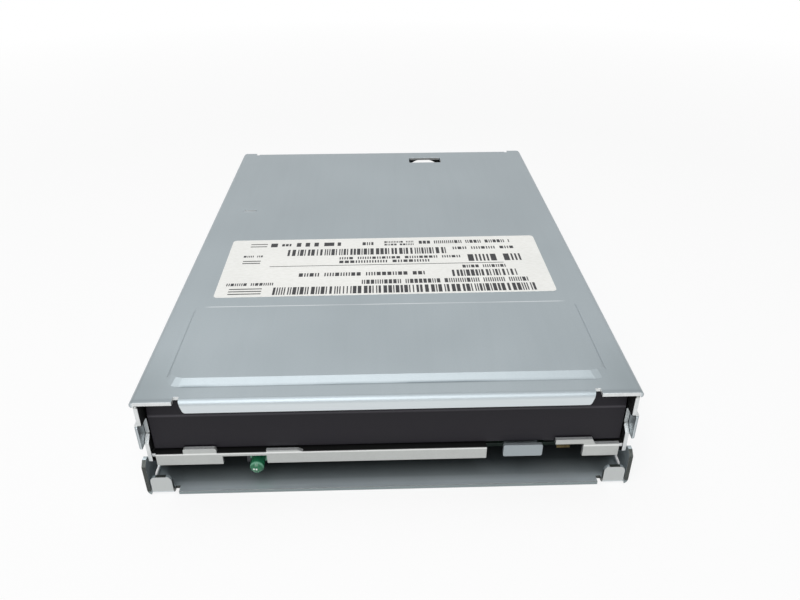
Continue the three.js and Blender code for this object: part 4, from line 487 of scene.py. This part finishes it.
# Each strip's left, right, low and high side, the pitch of its cells, and the rule that keeps a cell.
strips = [
    (-27.7, 36.9, 0.7, 4.3, 0.3, upright_bars()), (-6, 36, 5.2, 7.3, 0.28, word_bars()),
    (17, 33.5, 8.3, 11.6, 0.3, upright_bars()), (-22, 10, 9.5, 11.3, 0.34, word_bars()),
    (20, 31.5, 12.7, 14.2, 0.28, word_bars()), (-30, 31, 15.1, 15.35, 6, solid_bar()),
    (-12, 12, 16.4, 17.8, 0.36, word_bars()), (-12, 20, 18.5, 19.8, 0.32, word_bars()),
    (22, 36, 16.3, 20.1, 0.5, word_bars()), (-26, 16.5, 21, 24.6, 0.3, upright_bars()),
    (18.5, 35, 23.2, 24.7, 0.34, word_bars()), (9.5, 34.5, 26.9, 28.7, 0.28, word_bars()),
    (0, 8, 26.2, 27.2, 0.22, word_bars()), (0, 8, 27.8, 28.8, 0.22, word_bars()),
    (-6, -3, 26.6, 28.4, 0.3, word_bars()), (-28, -25.5, 26.8, 28.2, 0.24, word_bars()),
    (-39.5, -28, 5.4, 6.7, 0.26, word_bars()), (-37.5, -32.5, 20.6, 21.6, 0.24, word_bars()),
    (-38.5, -30.5, 1.2, 1.6, 4, solid_bar()), (-38.5, -30.5, 2.4, 2.8, 4, solid_bar()),
    (-38.5, -30.5, 3.6, 4, 4, solid_bar()), (-37.3, -32.7, 17, 17.4, 4, solid_bar()),
    (-37.3, -32.7, 18.2, 18.6, 4, solid_bar()), (-36.5, -32, 26.6, 27, 4, solid_bar()),
    (-36.5, -32, 28, 28.4, 4, solid_bar()), (-31, -29.2, 26.4, 28.6, 4, solid_bar()),
    (-24, -18, 26.4, 28.7, 1.1, word_bars()), (-16.5, -11, 26.5, 28.6, 0.9, word_bars()),
]
rows = [printed_row(*strip) for strip in strips]
pick(*rows)
bpy.ops.object.join()
print_bars = bpy.context.object
print_bars.name = "label_print"
print_bars.rotation_euler = (0, 0, LABEL_TURN)
print_bars.location = (label_middle.x, label_middle.y, label_high.z)
bpy.ops.object.transform_apply(location=True, rotation=True, scale=True)
applied(print_bars, "SOLIDIFY", thickness=INK_RISE, offset=1)
print_bars.data.materials.append(ink.material)
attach(print_bars, "chassis")


# Front flap: a dark grey moulding across the disk slot, hinged on pins in its upper corners. A torsion spring of
# fine steel wire on the left pin shuts it, with its outer leg behind the flap and the other under the cover.

def moulded(name, colour, worn, roughness=0.5, grain_depth=0.00002, **sockets):
    """Moulded plastic: fine eroded grain, slight drift of colour and rubbed, lighter patches."""
    made = Finish(name, colour, roughness, **sockets)
    drift = made.noise(60, 3)
    grain = made.noise(3200, 2)
    made.tint(drift, worn, 0.2).tint(made.noise(380, 4, 0.7), worn, 0.3, 0.6, 0.75)
    made.gloss(drift, roughness - 0.05, roughness + 0.08)
    return made.bump(grain, grain_depth)


def drawn_metal(name, colour, worn, roughness=0.25, lines=(1600, 1600, 60)):
    """Drawn, turned or polished metal: fine lines one way, and duller patches."""
    made = Finish(name, colour, roughness, 0.95)
    line = made.noise(1, 2, place=made.stretched(lines))
    made.tint(line, worn, 0.35).tint(made.noise(210, 4, 0.7), worn, 0.5, 0.58, 0.7)
    made.gloss(line, roughness - 0.06, roughness + 0.1)
    made.bump(line, 0.000004)
    return made.material


flap_plastic = moulded("flap_plastic", (26, 24, 30), (42, 40, 47), 0.48, 0.000012, Specular_IOR_Level=0.22)
# A painted highlight lies along the flap's ridge, where the crease would catch the light.
RIDGE_HEIGHT, RIDGE_HIGHLIGHT_REACH = 0.0191, 0.0004
flap_plastic.tint(flap_plastic.band("Z", RIDGE_HEIGHT, RIDGE_HIGHLIGHT_REACH), (86, 84, 90), 0.6, 0, 1)
dressed("front_flap", "flap_moulding", "dark_plastic", flap_plastic.material, WIDE_ROUND, broad=CREASED)
spring_metal = drawn_metal("spring_metal", (176, 176, 173), (134, 133, 130), 0.3)
flap_coil = dressed("flap_spring", "flap_spring_wire", "spring_steel", spring_metal, riding=False)
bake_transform(flap_coil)


# Inner frame: brighter plated sheet with side walls and a deck, screwed to the tray. The turned-down front edge of
# the deck shows as a strip under the flap, with cut-outs for the lamp, the eject tab and the disk switch.
FRAME_SHADES = (184, 187, 185), (200, 202, 199), (160, 163, 162), 0.36
frame_metal = coated_sheet("frame_metal", *FRAME_SHADES)
deck_metal = coated_sheet("deck_metal", *FRAME_SHADES)

# Painted shadow: the deck is painted black between the walls, from the flap's foot to just behind the strip's
# painted highlight, where the flap shades it.
DECK_TOP, DECK_REACH = 0.0098, 0.0004
FLAP_FOOT, FOOT_FADE = -0.0672, 0.0006
STRIP_FRONT, STRIP_FADE = -0.0695, 0.00015
BETWEEN_WALLS = (0.0487, 0.0485)
painted_deck_shadow = deck_metal.product(
    deck_metal.ramp(deck_metal.along("Y"), FLAP_FOOT + FOOT_FADE, FLAP_FOOT),
    deck_metal.ramp(deck_metal.along("Y"), STRIP_FRONT, STRIP_FRONT + STRIP_FADE),
    deck_metal.ramp(deck_metal.away("X"), *BETWEEN_WALLS),
    deck_metal.band("Z", DECK_TOP, DECK_REACH))
deck_metal.tint(painted_deck_shadow, (20, 20, 22), 0.95, 0, 0.6)
# A painted highlight lies along the strip's top edge.
BRIGHT_TOP, BRIGHT_REACH, BRIGHT_FADE = 0.0097, 0.0003, (0.0002, 0.00012)
bright_start, bright_end = (STRIP_FRONT + fade for fade in BRIGHT_FADE)
strip_highlight = deck_metal.product(deck_metal.band("Z", BRIGHT_TOP, BRIGHT_REACH),
                               deck_metal.ramp(deck_metal.along("Y"), bright_start, bright_end))
deck_metal.tint(strip_highlight, (244, 246, 244), 0.8, 0, 0.7)

# Painted shade: the front ends of the side walls are painted dark on the inside.
WALL_INSIDE, WALL_REACH = 0.0488, (0.0003, 0.0001)
WALL_REAR, WALL_FADE = -0.0655, 0.001
from_wall = chain(deck_metal.tree, "SUBTRACT", deck_metal.away("X"), WALL_INSIDE)
wall_shade = deck_metal.product(
    deck_metal.ramp(chain(deck_metal.tree, "ABSOLUTE", from_wall), *WALL_REACH),
    deck_metal.ramp(deck_metal.along("Y"), WALL_REAR + WALL_FADE, WALL_REAR))
deck_metal.tint(wall_shade, (28, 29, 31), 0.9, 0, 1)
inner_frame = dressed("main_frame", "frame_sheet", "frame_steel", deck_metal.material, PLAIN_ROUND, bare_edge_highlight,
                      cut_faces, CREASED)

# The strip's middle tag is bent down a little.
TAG_FROM, TAG_TO, TAG_FRONT = -0.0256, -0.0185, -0.0685
TAG_LOW, TAG_DROP = 0.0104, 0.0006
pick(inner_frame)
bpy.ops.object.mode_set(mode="EDIT")
bpy.ops.mesh.select_mode(type="VERT")
bpy.ops.mesh.select_all(action="DESELECT")
bpy.ops.object.mode_set(mode="OBJECT")
for vertex in inner_frame.data.vertices:
    x, y, z = vertex.co
    vertex.select = TAG_FROM < x < TAG_TO and y < TAG_FRONT and z > TAG_LOW
bpy.ops.object.mode_set(mode="EDIT")
bpy.ops.transform.translate(value=(0, 0, -TAG_DROP))
bpy.ops.object.mode_set(mode="OBJECT")


# Bottom tray: the greyer sheet that closes the drive from below, folded up at the sides and rear, with two ears
# and two short corner tabs at the front. Its cut edges are painted dark as painted shade.
tray_metal = coated_sheet("tray_metal", (182, 193, 198), (192, 201, 204), (164, 175, 181))

# Painted shade darkens the floor towards the rear, under the deck. Painted light brightens its front edge and the
# tabs' front faces.
FLOOR_TOP, FLOOR_REACH = 0.0008, 0.0004
DARK_FLOOR, LIGHT_FLOOR = (-0.0685, -0.0635), (-0.068, -0.0712)
TAB_FACE, TAB_EDGE = (-0.0708, -0.07095), (-0.0706, -0.07095)
floor_face = tray_metal.band("Z", FLOOR_TOP, FLOOR_REACH)
floor_shade = tray_metal.product(floor_face, tray_metal.ramp(tray_metal.along("Y"), *DARK_FLOOR))
tray_metal.tint(floor_shade, (60, 66, 70), 0.85, 0, 1)
floor_light = tray_metal.product(floor_face, tray_metal.ramp(tray_metal.along("Y"), *LIGHT_FLOOR))
tray_metal.tint(floor_light, (224, 235, 241), 1, 0, 0.6)
# Painted light on the tabs' front faces.
tray_metal.tint(tray_metal.along("Y"), (194, 196, 194), 0.8, *TAB_FACE)

# A near-white painted highlight lies on the bend beside each ear.
BEND_START, BEND_END = (0.0501, 0.0503), (0.0507, 0.05055)
EAR_FRONT, EAR_REAR, EAR_FADE = -0.0685, -0.0625, 0.0005
BEND_RISE = 0.00005
bend_highlight = tray_metal.product(
    floor_face,
    tray_metal.ramp(tray_metal.away("X"), *BEND_START), tray_metal.ramp(tray_metal.away("X"), *BEND_END),
    tray_metal.ramp(tray_metal.along("Z"), FLOOR_TOP, FLOOR_TOP + BEND_RISE),
    tray_metal.ramp(tray_metal.along("Y"), EAR_FRONT, EAR_FRONT + EAR_FADE),
    tray_metal.ramp(tray_metal.along("Y"), EAR_REAR, EAR_REAR - EAR_FADE))
tray_metal.tint(bend_highlight, (255, 255, 255), 1, 0, 0.4)
# Painted shade: the tray's cut edges are a dark copy of the cut steel.
shaded_edge = cut_metal("shaded_edge", (74, 78, 76), (54, 56, 52))
EDGE_RISE = 0.0003
# Painted light: the floor's front cut edge is painted lighter, like the floor's lit front.
lit_floor_edge = shaded_edge.product(shaded_edge.ramp(shaded_edge.along("Y"), *TAB_EDGE),
                               shaded_edge.ramp(shaded_edge.along("Z"), FLOOR_TOP + EDGE_RISE, FLOOR_TOP))
shaded_edge.tint(lit_floor_edge, (140, 151, 153), 0.9, 0, 1)
dressed("bottom_tray", "tray_sheet", "tray_steel", tray_metal.material, WIDE_ROUND, shaded_edge.material,
        cut_faces, CREASED)


# Load slider: a U-shaped plate of bluer plated sheet under the cover, with cam slots in its sides. Its front tab
# carries the eject button. Two coil springs pull it forwards.
slider_metal = coated_sheet("slider_metal", (156, 165, 169), (168, 176, 179), (140, 150, 154), 0.38)
dressed("slider_plate", "slider_sheet", "slider_steel", slider_metal.material, PLAIN_ROUND, broad=CREASED)
for side in ("left", "right"):
    coil = dressed("slider_spring_" + side, "slider_coil_" + side, "spring_steel", spring_metal)
    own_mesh(coil)


# Disk holder: plated sheet that takes the disk, rises and drops on pins in the slider's slots, and carries the
# lever that opens the disk's shutter. The lever's own coil spring has its lower leg on the lever and the upper one
# on the holder.
bright_metal = drawn_metal("bright_metal", (200, 203, 206), (168, 171, 174))
dressed("disk_holder", "holder_sheet", "frame_steel", frame_metal.material, SMALL_ROUND, broad=CREASED)
LEVER_ROUND = 0.00006
dressed("shutter_lever", "lever_plate", "bright_steel", bright_metal, LEVER_ROUND)
lever_coil = dressed("lever_spring", "lever_coil", "spring_steel", spring_metal, riding=False)
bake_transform(lever_coil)


# Activity lamp: a clear green lens, moulded round its two leads, with a domed front and a rim. It is pushed into a
# black holder on the motor board. Two near-white dots on its dome are painted highlights.
lens = Finish("lamp_lens", (38, 118, 82), 0.07, Transmission_Weight=0.15, IOR=1.5)
lens.tint(lens.noise(900, 3), (26, 104, 68), 0.5).gloss(lens.noise(1500, 2), 0.05, 0.1)
DOME_EDGE, DOME_REACH = -0.06985, 0.00035
CATCHLIGHTS, CATCHLIGHT_HEIGHT, CATCHLIGHT_REACH = (-0.02804, -0.0275), 0.0063, 0.0003
# A painted highlight: the dome's edge is painted a lighter green.
lens.tint(lens.band("Y", DOME_EDGE, DOME_REACH), (150, 214, 184), 0.7, 0, 1)
# Each mask here is one near-white painted highlight on the dome, not a lead.
for catchlight_x in CATCHLIGHTS:
    lead = lens.product(lens.band("X", catchlight_x, CATCHLIGHT_REACH), lens.band("Z", CATCHLIGHT_HEIGHT, CATCHLIGHT_REACH))
    lens.tint(lead, (244, 254, 248), 1, 0.15, 0.5)
lens_rim = Finish("lamp_rim", (104, 176, 140), 0.12, Transmission_Weight=0.1, IOR=1.5)
lens_rim.tint(lens_rim.noise(1200, 3), (72, 150, 114), 0.6).gloss(lens_rim.noise(1500, 2), 0.08, 0.18)
black_plastic = moulded("black_plastic", (30, 30, 33), (46, 46, 49)).material
RIM_DEPTH = 0.0009
lamp_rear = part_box("led_lamp")[1][1]
dressed("led_lamp", "lamp_body", "green_lens", lens.material, 0.0, lens_rim.material,
        lambda mesh: [face for face in mesh.polygons if face.center.y > lamp_rear - RIM_DEPTH])
dressed("led_holder", "lamp_holder", "black_plastic", black_plastic, PLAIN_ROUND)


# Circuit boards: the motor board lies under the deck, the main board behind it, both with a green coating over
# copper tracks. The main board carries the controller chip with plated leads and the sensor that finds track zero.

def coated_board(name, mask, over_track):
    """Green lacquer over a net of tracks, with tiny glints of solder."""
    made = Finish(name, mask, 0.4)
    tracks = made.node("ShaderNodeTexBrick")
    tracks.offset = 0.5
    tracks.inputs["Scale"].default_value = 1
    tracks.inputs["Color1"].default_value = (0, 0, 0, 1)
    tracks.inputs["Color2"].default_value = (0.35, 0.35, 0.35, 1)
    tracks.inputs["Mortar"].default_value = (1, 1, 1, 1)
    tracks.inputs["Mortar Size"].default_value = 0.03
    tracks.inputs["Brick Width"].default_value = 0.9
    tracks.inputs["Row Height"].default_value = 0.22
    made.tree.links.new(made.stretched((260, 260, 260)), tracks.inputs["Vector"])
    net = tracks.outputs["Color"]
    glint = made.noise(900, 2)
    made.tint(net, over_track, 0.7, 0.2, 0.9).tint(glint, (176, 180, 172), 0.8, 0.73, 0.76)
    made.gloss(net, 0.42, 0.3, 0, 1).bump(net, 0.00002)
    return made.material


motor_mask = coated_board("motor_board_mask", (14, 32, 22), (28, 54, 36))
main_mask = coated_board("main_board_mask", (30, 76, 46), (58, 112, 70))
dressed("motor_board", "motor_board_sheet", "board", motor_mask, FINE_ROUND)
dressed("main_board", "main_board_sheet", "board", main_mask, FINE_ROUND)

LEAD_INSET = 0.00105
CHIP_ROUND = 0.00006
solder_metal = drawn_metal("lead_metal", (206, 208, 208), (170, 172, 172), 0.3)
chip_low, chip_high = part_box("controller_chip")
dressed("controller_chip", "chip_body", "black_plastic", black_plastic, CHIP_ROUND, solder_metal,
        lambda mesh: [face for face in mesh.polygons
                      if not chip_low[0] + LEAD_INSET < face.center.x < chip_high[0] - LEAD_INSET])
dressed("track_zero_sensor", "sensor_fork", "black_plastic", black_plastic, SMALL_ROUND)


# Connectors at the rear: a black shrouded header with two rows of gold-plated pins for data, and a white one with
# four tinned pins for power. Both are soldered to the main board.
white_plastic = moulded("white_plastic", (216, 213, 203), (200, 194, 180)).material
gold_metal = drawn_metal("pin_gold", (214, 178, 96), (176, 140, 66), 0.22)
HEADER_WALL, FLOOR_GAP = 0.0011, 0.0001
LARGEST_PIN_FACE, PIN_REACH = 0.000006, 0.0004

# Each header's depth, the wall beside its end pins, and its rows of pins from the middle.
HEADERS = {
    "data_connector": (0.0103, 0.003, (-0.00127, 0.00127)),
    "power_connector": (0.0088, 0.0013, (0,)),
}


def pin_faces(node):
    """Lists the faces inside a header's cavity that belong to its pins."""
    depth, side, rows = HEADERS[node]
    low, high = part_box(node)
    floor = high[1] - depth + 2 * HEADER_WALL + FLOOR_GAP
    middle = (low[2] + high[2]) / 2

    def chosen(mesh):
        return [face for face in mesh.polygons
                if face.center.y > floor and face.area < LARGEST_PIN_FACE
                and low[0] + side < face.center.x < high[0] - side
                and any(abs(face.center.z - middle - row) < PIN_REACH for row in rows)]
    return chosen


dressed("data_connector", "data_header", "black_plastic", black_plastic, PLAIN_ROUND, gold_metal,
        pin_faces("data_connector"))
dressed("power_connector", "power_header", "white_plastic", white_plastic, PLAIN_ROUND, solder_metal,
        pin_faces("power_connector"))


# Disk sensors: two black push switches with white plungers read the disk's notches, and a third, at the front
# right, has a leaf of spring bronze that the disk presses down. The bronze is painted dark as painted shade.
shaded_bronze_metal = drawn_metal("leaf_bronze", (66, 58, 38), (38, 32, 20), 0.3)
for name in ("write_protect", "density"):
    dressed(name + "_switch", name + "_housing", "black_plastic", black_plastic, WIDE_ROUND)
    dressed(name + "_plunger", name + "_button", "white_plastic", white_plastic, PLAIN_ROUND)
dressed("disk_switch", "disk_switch_housing", "black_plastic", black_plastic, WIDE_ROUND)
dressed("contact_leaf", "switch_leaf", "brass", shaded_bronze_metal)


# Spindle motor: a brass sleeve and a wound iron core on the motor board, and a turned steel cup with a ring magnet,
# a shaft and a hub that turn together. The sprung drive pin stands up through the hub.

def turned_metal(name, colour, worn, centre, roughness=0.24):
    """Turned steel: rings of tool marks round an upright axis."""
    made = Finish(name, colour, roughness, 0.95)
    rings = made.node("ShaderNodeTexWave", wave_type="RINGS", rings_direction="Z")
    rings.inputs["Scale"].default_value = 900
    rings.inputs["Distortion"].default_value = 0.6
    made.tree.links.new(made.stretched((1, 1, 1), centre=centre), rings.inputs["Vector"])
    made.tint(rings.outputs["Fac"], worn, 0.3).tint(made.noise(190, 4, 0.7), worn, 0.5, 0.56, 0.7)
    made.gloss(rings.outputs["Fac"], roughness - 0.05, roughness + 0.08)
    made.bump(rings.outputs["Fac"], 0.000003)
    return made.material


cup_low, cup_high = (Vector(corner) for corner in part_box("rotor_cup"))
spindle_axis = (cup_low + cup_high) / 2
cup_metal = turned_metal("cup_metal", (192, 194, 196), (160, 162, 164), spindle_axis)
hub_metal = turned_metal("hub_metal", (206, 205, 200), (172, 170, 164), spindle_axis, 0.2)
brass_metal = drawn_metal("brass_metal", (196, 158, 88), (150, 112, 58), 0.3)
core_metal = drawn_metal("core_metal", (98, 101, 104), (72, 70, 68), 0.45, (60, 60, 4000))
magnet_face = moulded("magnet_face", (60, 61, 64), (78, 78, 80), 0.6, 0.00003).material
winding = Finish("winding", (172, 98, 56), 0.3, 0.8)
turns = winding.node("ShaderNodeTexWave", bands_direction="X")
turns.inputs["Scale"].default_value = 900
turns.inputs["Distortion"].default_value = 1.5
winding.tree.links.new(winding.place, turns.inputs["Vector"])
winding.tint(winding.noise(700, 3), (122, 60, 30), 0.6).tint(turns.outputs["Fac"], (96, 46, 24), 0.4, 0, 1)
winding.bump(turns.outputs["Fac"], 0.00004)
for piece in (
    ("bearing_sleeve", "sleeve_turned", "brass", brass_metal, PLAIN_ROUND),
    ("stator_core", "core_stack", "iron_core", core_metal, 0.0),
    ("stator_coils", "coil_windings", "copper", winding.material, 0.0),
    ("rotor_cup", "cup_turned", "bright_steel", cup_metal, PLAIN_ROUND),
    ("rotor_magnet", "magnet_ring", "magnet", magnet_face, PLAIN_ROUND),
    ("spindle_shaft", "shaft_ground", "bright_steel", bright_metal, PLAIN_ROUND),
    ("spindle_hub", "hub_turned", "bright_steel", hub_metal, PLAIN_ROUND),
    ("drive_pin", "drive_pin_turned", "bright_steel", bright_metal, PLAIN_ROUND),
):
    dressed(*piece)


# Head carriage: a black moulding on two ground rods held by black straps, with a white arm hinged on it. Each
# carries a polished ceramic head. A wire spring presses the arm down, and a film ribbon runs to its socket.
arm_plastic = moulded("arm_plastic", (206, 204, 196), (188, 184, 172), 0.46).material
ceramic_face = moulded("ceramic_face", (228, 225, 216), (206, 202, 190), 0.25, 0.000003).material
ribbon_film = Finish("ribbon_film", (178, 112, 46), 0.35)
conductors = ribbon_film.node("ShaderNodeTexWave", bands_direction="X")
conductors.inputs["Scale"].default_value = 320
ribbon_film.tree.links.new(ribbon_film.place, conductors.inputs["Vector"])
ribbon_film.tint(conductors.outputs["Fac"], (122, 66, 24), 0.7, 0.3, 0.7)
ribbon_film.tint(ribbon_film.noise(300, 3), (196, 134, 64), 0.4).bump(conductors.outputs["Fac"], 0.00002)
rod_metal = drawn_metal("rod_metal", (210, 213, 216), (184, 187, 190), 0.16, (1600, 60, 1600))
for piece in (
    ("head_carriage", "carriage_moulding", "black_plastic", black_plastic, WIDE_ROUND),
    ("lower_head", "lower_slider", "ceramic", ceramic_face, SMALL_ROUND),
    ("head_arm", "arm_moulding", "white_plastic", arm_plastic, WIDE_ROUND),
    ("upper_head", "upper_slider", "ceramic", ceramic_face, SMALL_ROUND),
    ("arm_spring", "arm_spring_wire", "spring_steel", spring_metal, 0.0),
    ("guide_rod_left", "rod_ground_left", "bright_steel", rod_metal, PLAIN_ROUND),
    ("guide_rod_right", "rod_ground_right", "bright_steel", rod_metal, PLAIN_ROUND),
    ("rod_strap_front", "strap_front", "black_plastic", black_plastic, PLAIN_ROUND),
    ("rod_strap_rear", "strap_rear", "black_plastic", black_plastic, PLAIN_ROUND),
    ("ribbon_socket", "socket_moulding", "white_plastic", white_plastic, PLAIN_ROUND),
):
    dressed(*piece)
ribbon = dressed("head_ribbon", "ribbon_strip", "film", ribbon_film.material, riding=False)
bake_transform(ribbon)


# Stepper motor: a plated can on a folded bracket turns the ground lead screw, whose tip runs in a white bearing.
# The bracket is held by two small screws.
CAN_ROUND = 0.0002
can_metal = drawn_metal("can_metal", (188, 190, 190), (156, 158, 158), 0.3, (1600, 80, 1600))
for piece in (
    ("stepper_motor", "stepper_can", "bright_steel", can_metal, CAN_ROUND),
    ("stepper_bracket", "bracket_sheet", "frame_steel", frame_metal.material, SMALL_ROUND),
    ("lead_screw", "screw_ground", "bright_steel", rod_metal, 0.0),
    ("screw_bearing", "bearing_block", "white_plastic", white_plastic, PLAIN_ROUND),
):
    dressed(*piece)


# Screws: small machine screws of zinc-plated steel, with rolled threads. They hold the two boards, the stepper's
# bracket and the inner frame.
screw_metal = drawn_metal("screw_metal", (186, 186, 178), (146, 146, 136), 0.28)
for node in sorted(frame["nodes"]):
    if "_screw_" in node:
        dressed(node, node + "_plated", "bright_steel", screw_metal, SMALL_ROUND)


# Table and light: a white table that keeps the drive's shadow near it and fades to plain white further out, in a
# white room. One soft lamp hangs above and a little behind, and one stands in front.
TABLE_SIZE, TABLE_GAP = 40, 0.00002
pick()
bpy.ops.mesh.primitive_plane_add(size=TABLE_SIZE, location=(0, 0, -TABLE_GAP))
table = bpy.context.object
table.name = "table_top"

table_white = Finish("table_white", (245, 245, 245), 0.9)
tree = table_white.tree
distance = table_white.node("ShaderNodeVectorMath", operation="LENGTH")
tree.links.new(table_white.place, distance.inputs[0])
SHADOW_REACH = (0.2, 0.5)
plainness = table_white.spread(distance.outputs["Value"], 0.8, 1, *SHADOW_REACH)
rays = table_white.node("ShaderNodeLightPath")
shown = chain(tree, "MAXIMUM", rays.outputs["Is Camera Ray"], rays.outputs["Is Glossy Ray"])
shown = chain(tree, "MAXIMUM", shown, rays.outputs["Is Transmission Ray"])
glow = table_white.node("ShaderNodeEmission")
mix = table_white.node("ShaderNodeMixShader")
tree.links.new(chain(tree, "MULTIPLY", shown, plainness), mix.inputs["Fac"])
tree.links.new(table_white.shader.outputs["BSDF"], mix.inputs[1])
tree.links.new(glow.outputs["Emission"], mix.inputs[2])
tree.links.new(mix.outputs["Shader"], tree.nodes["Material Output"].inputs["Surface"])
table.data.materials.append(table_white.material)

ROOM_LEVEL = 0.24
ROOM_IN_METAL = 0.75
world = bpy.data.worlds.new("room")
bpy.context.scene.world = world
world.use_nodes = True
tree = world.node_tree
room = tree.nodes["Background"]
room.inputs["Color"].default_value = (1, 1, 1, 1)
rays = tree.nodes.new("ShaderNodeLightPath")
in_metal = chain(tree, "MULTIPLY", rays.outputs["Is Glossy Ray"], ROOM_IN_METAL)
shown = chain(tree, "MAXIMUM", rays.outputs["Is Camera Ray"], rays.outputs["Is Transmission Ray"])
shown = chain(tree, "MAXIMUM", shown, in_metal)
tree.links.new(chain(tree, "MAXIMUM", shown, ROOM_LEVEL), room.inputs["Strength"])

for name, place, size, power in (
    ("softbox_top", (-0.15, 0.12, 0.9), 0.8, 2.5),
    ("softbox_front", (-0.1, -0.6, 0.8), 0.9, 7),
):
    data = bpy.data.lights.new(name, "AREA")
    data.size = size
    data.energy = power
    lamp = bpy.data.objects.new(name, data)
    lamp.location = place
    lamp.rotation_euler = (-Vector(place)).to_track_quat("-Z", "Y").to_euler()
    bpy.context.scene.collection.objects.link(lamp)
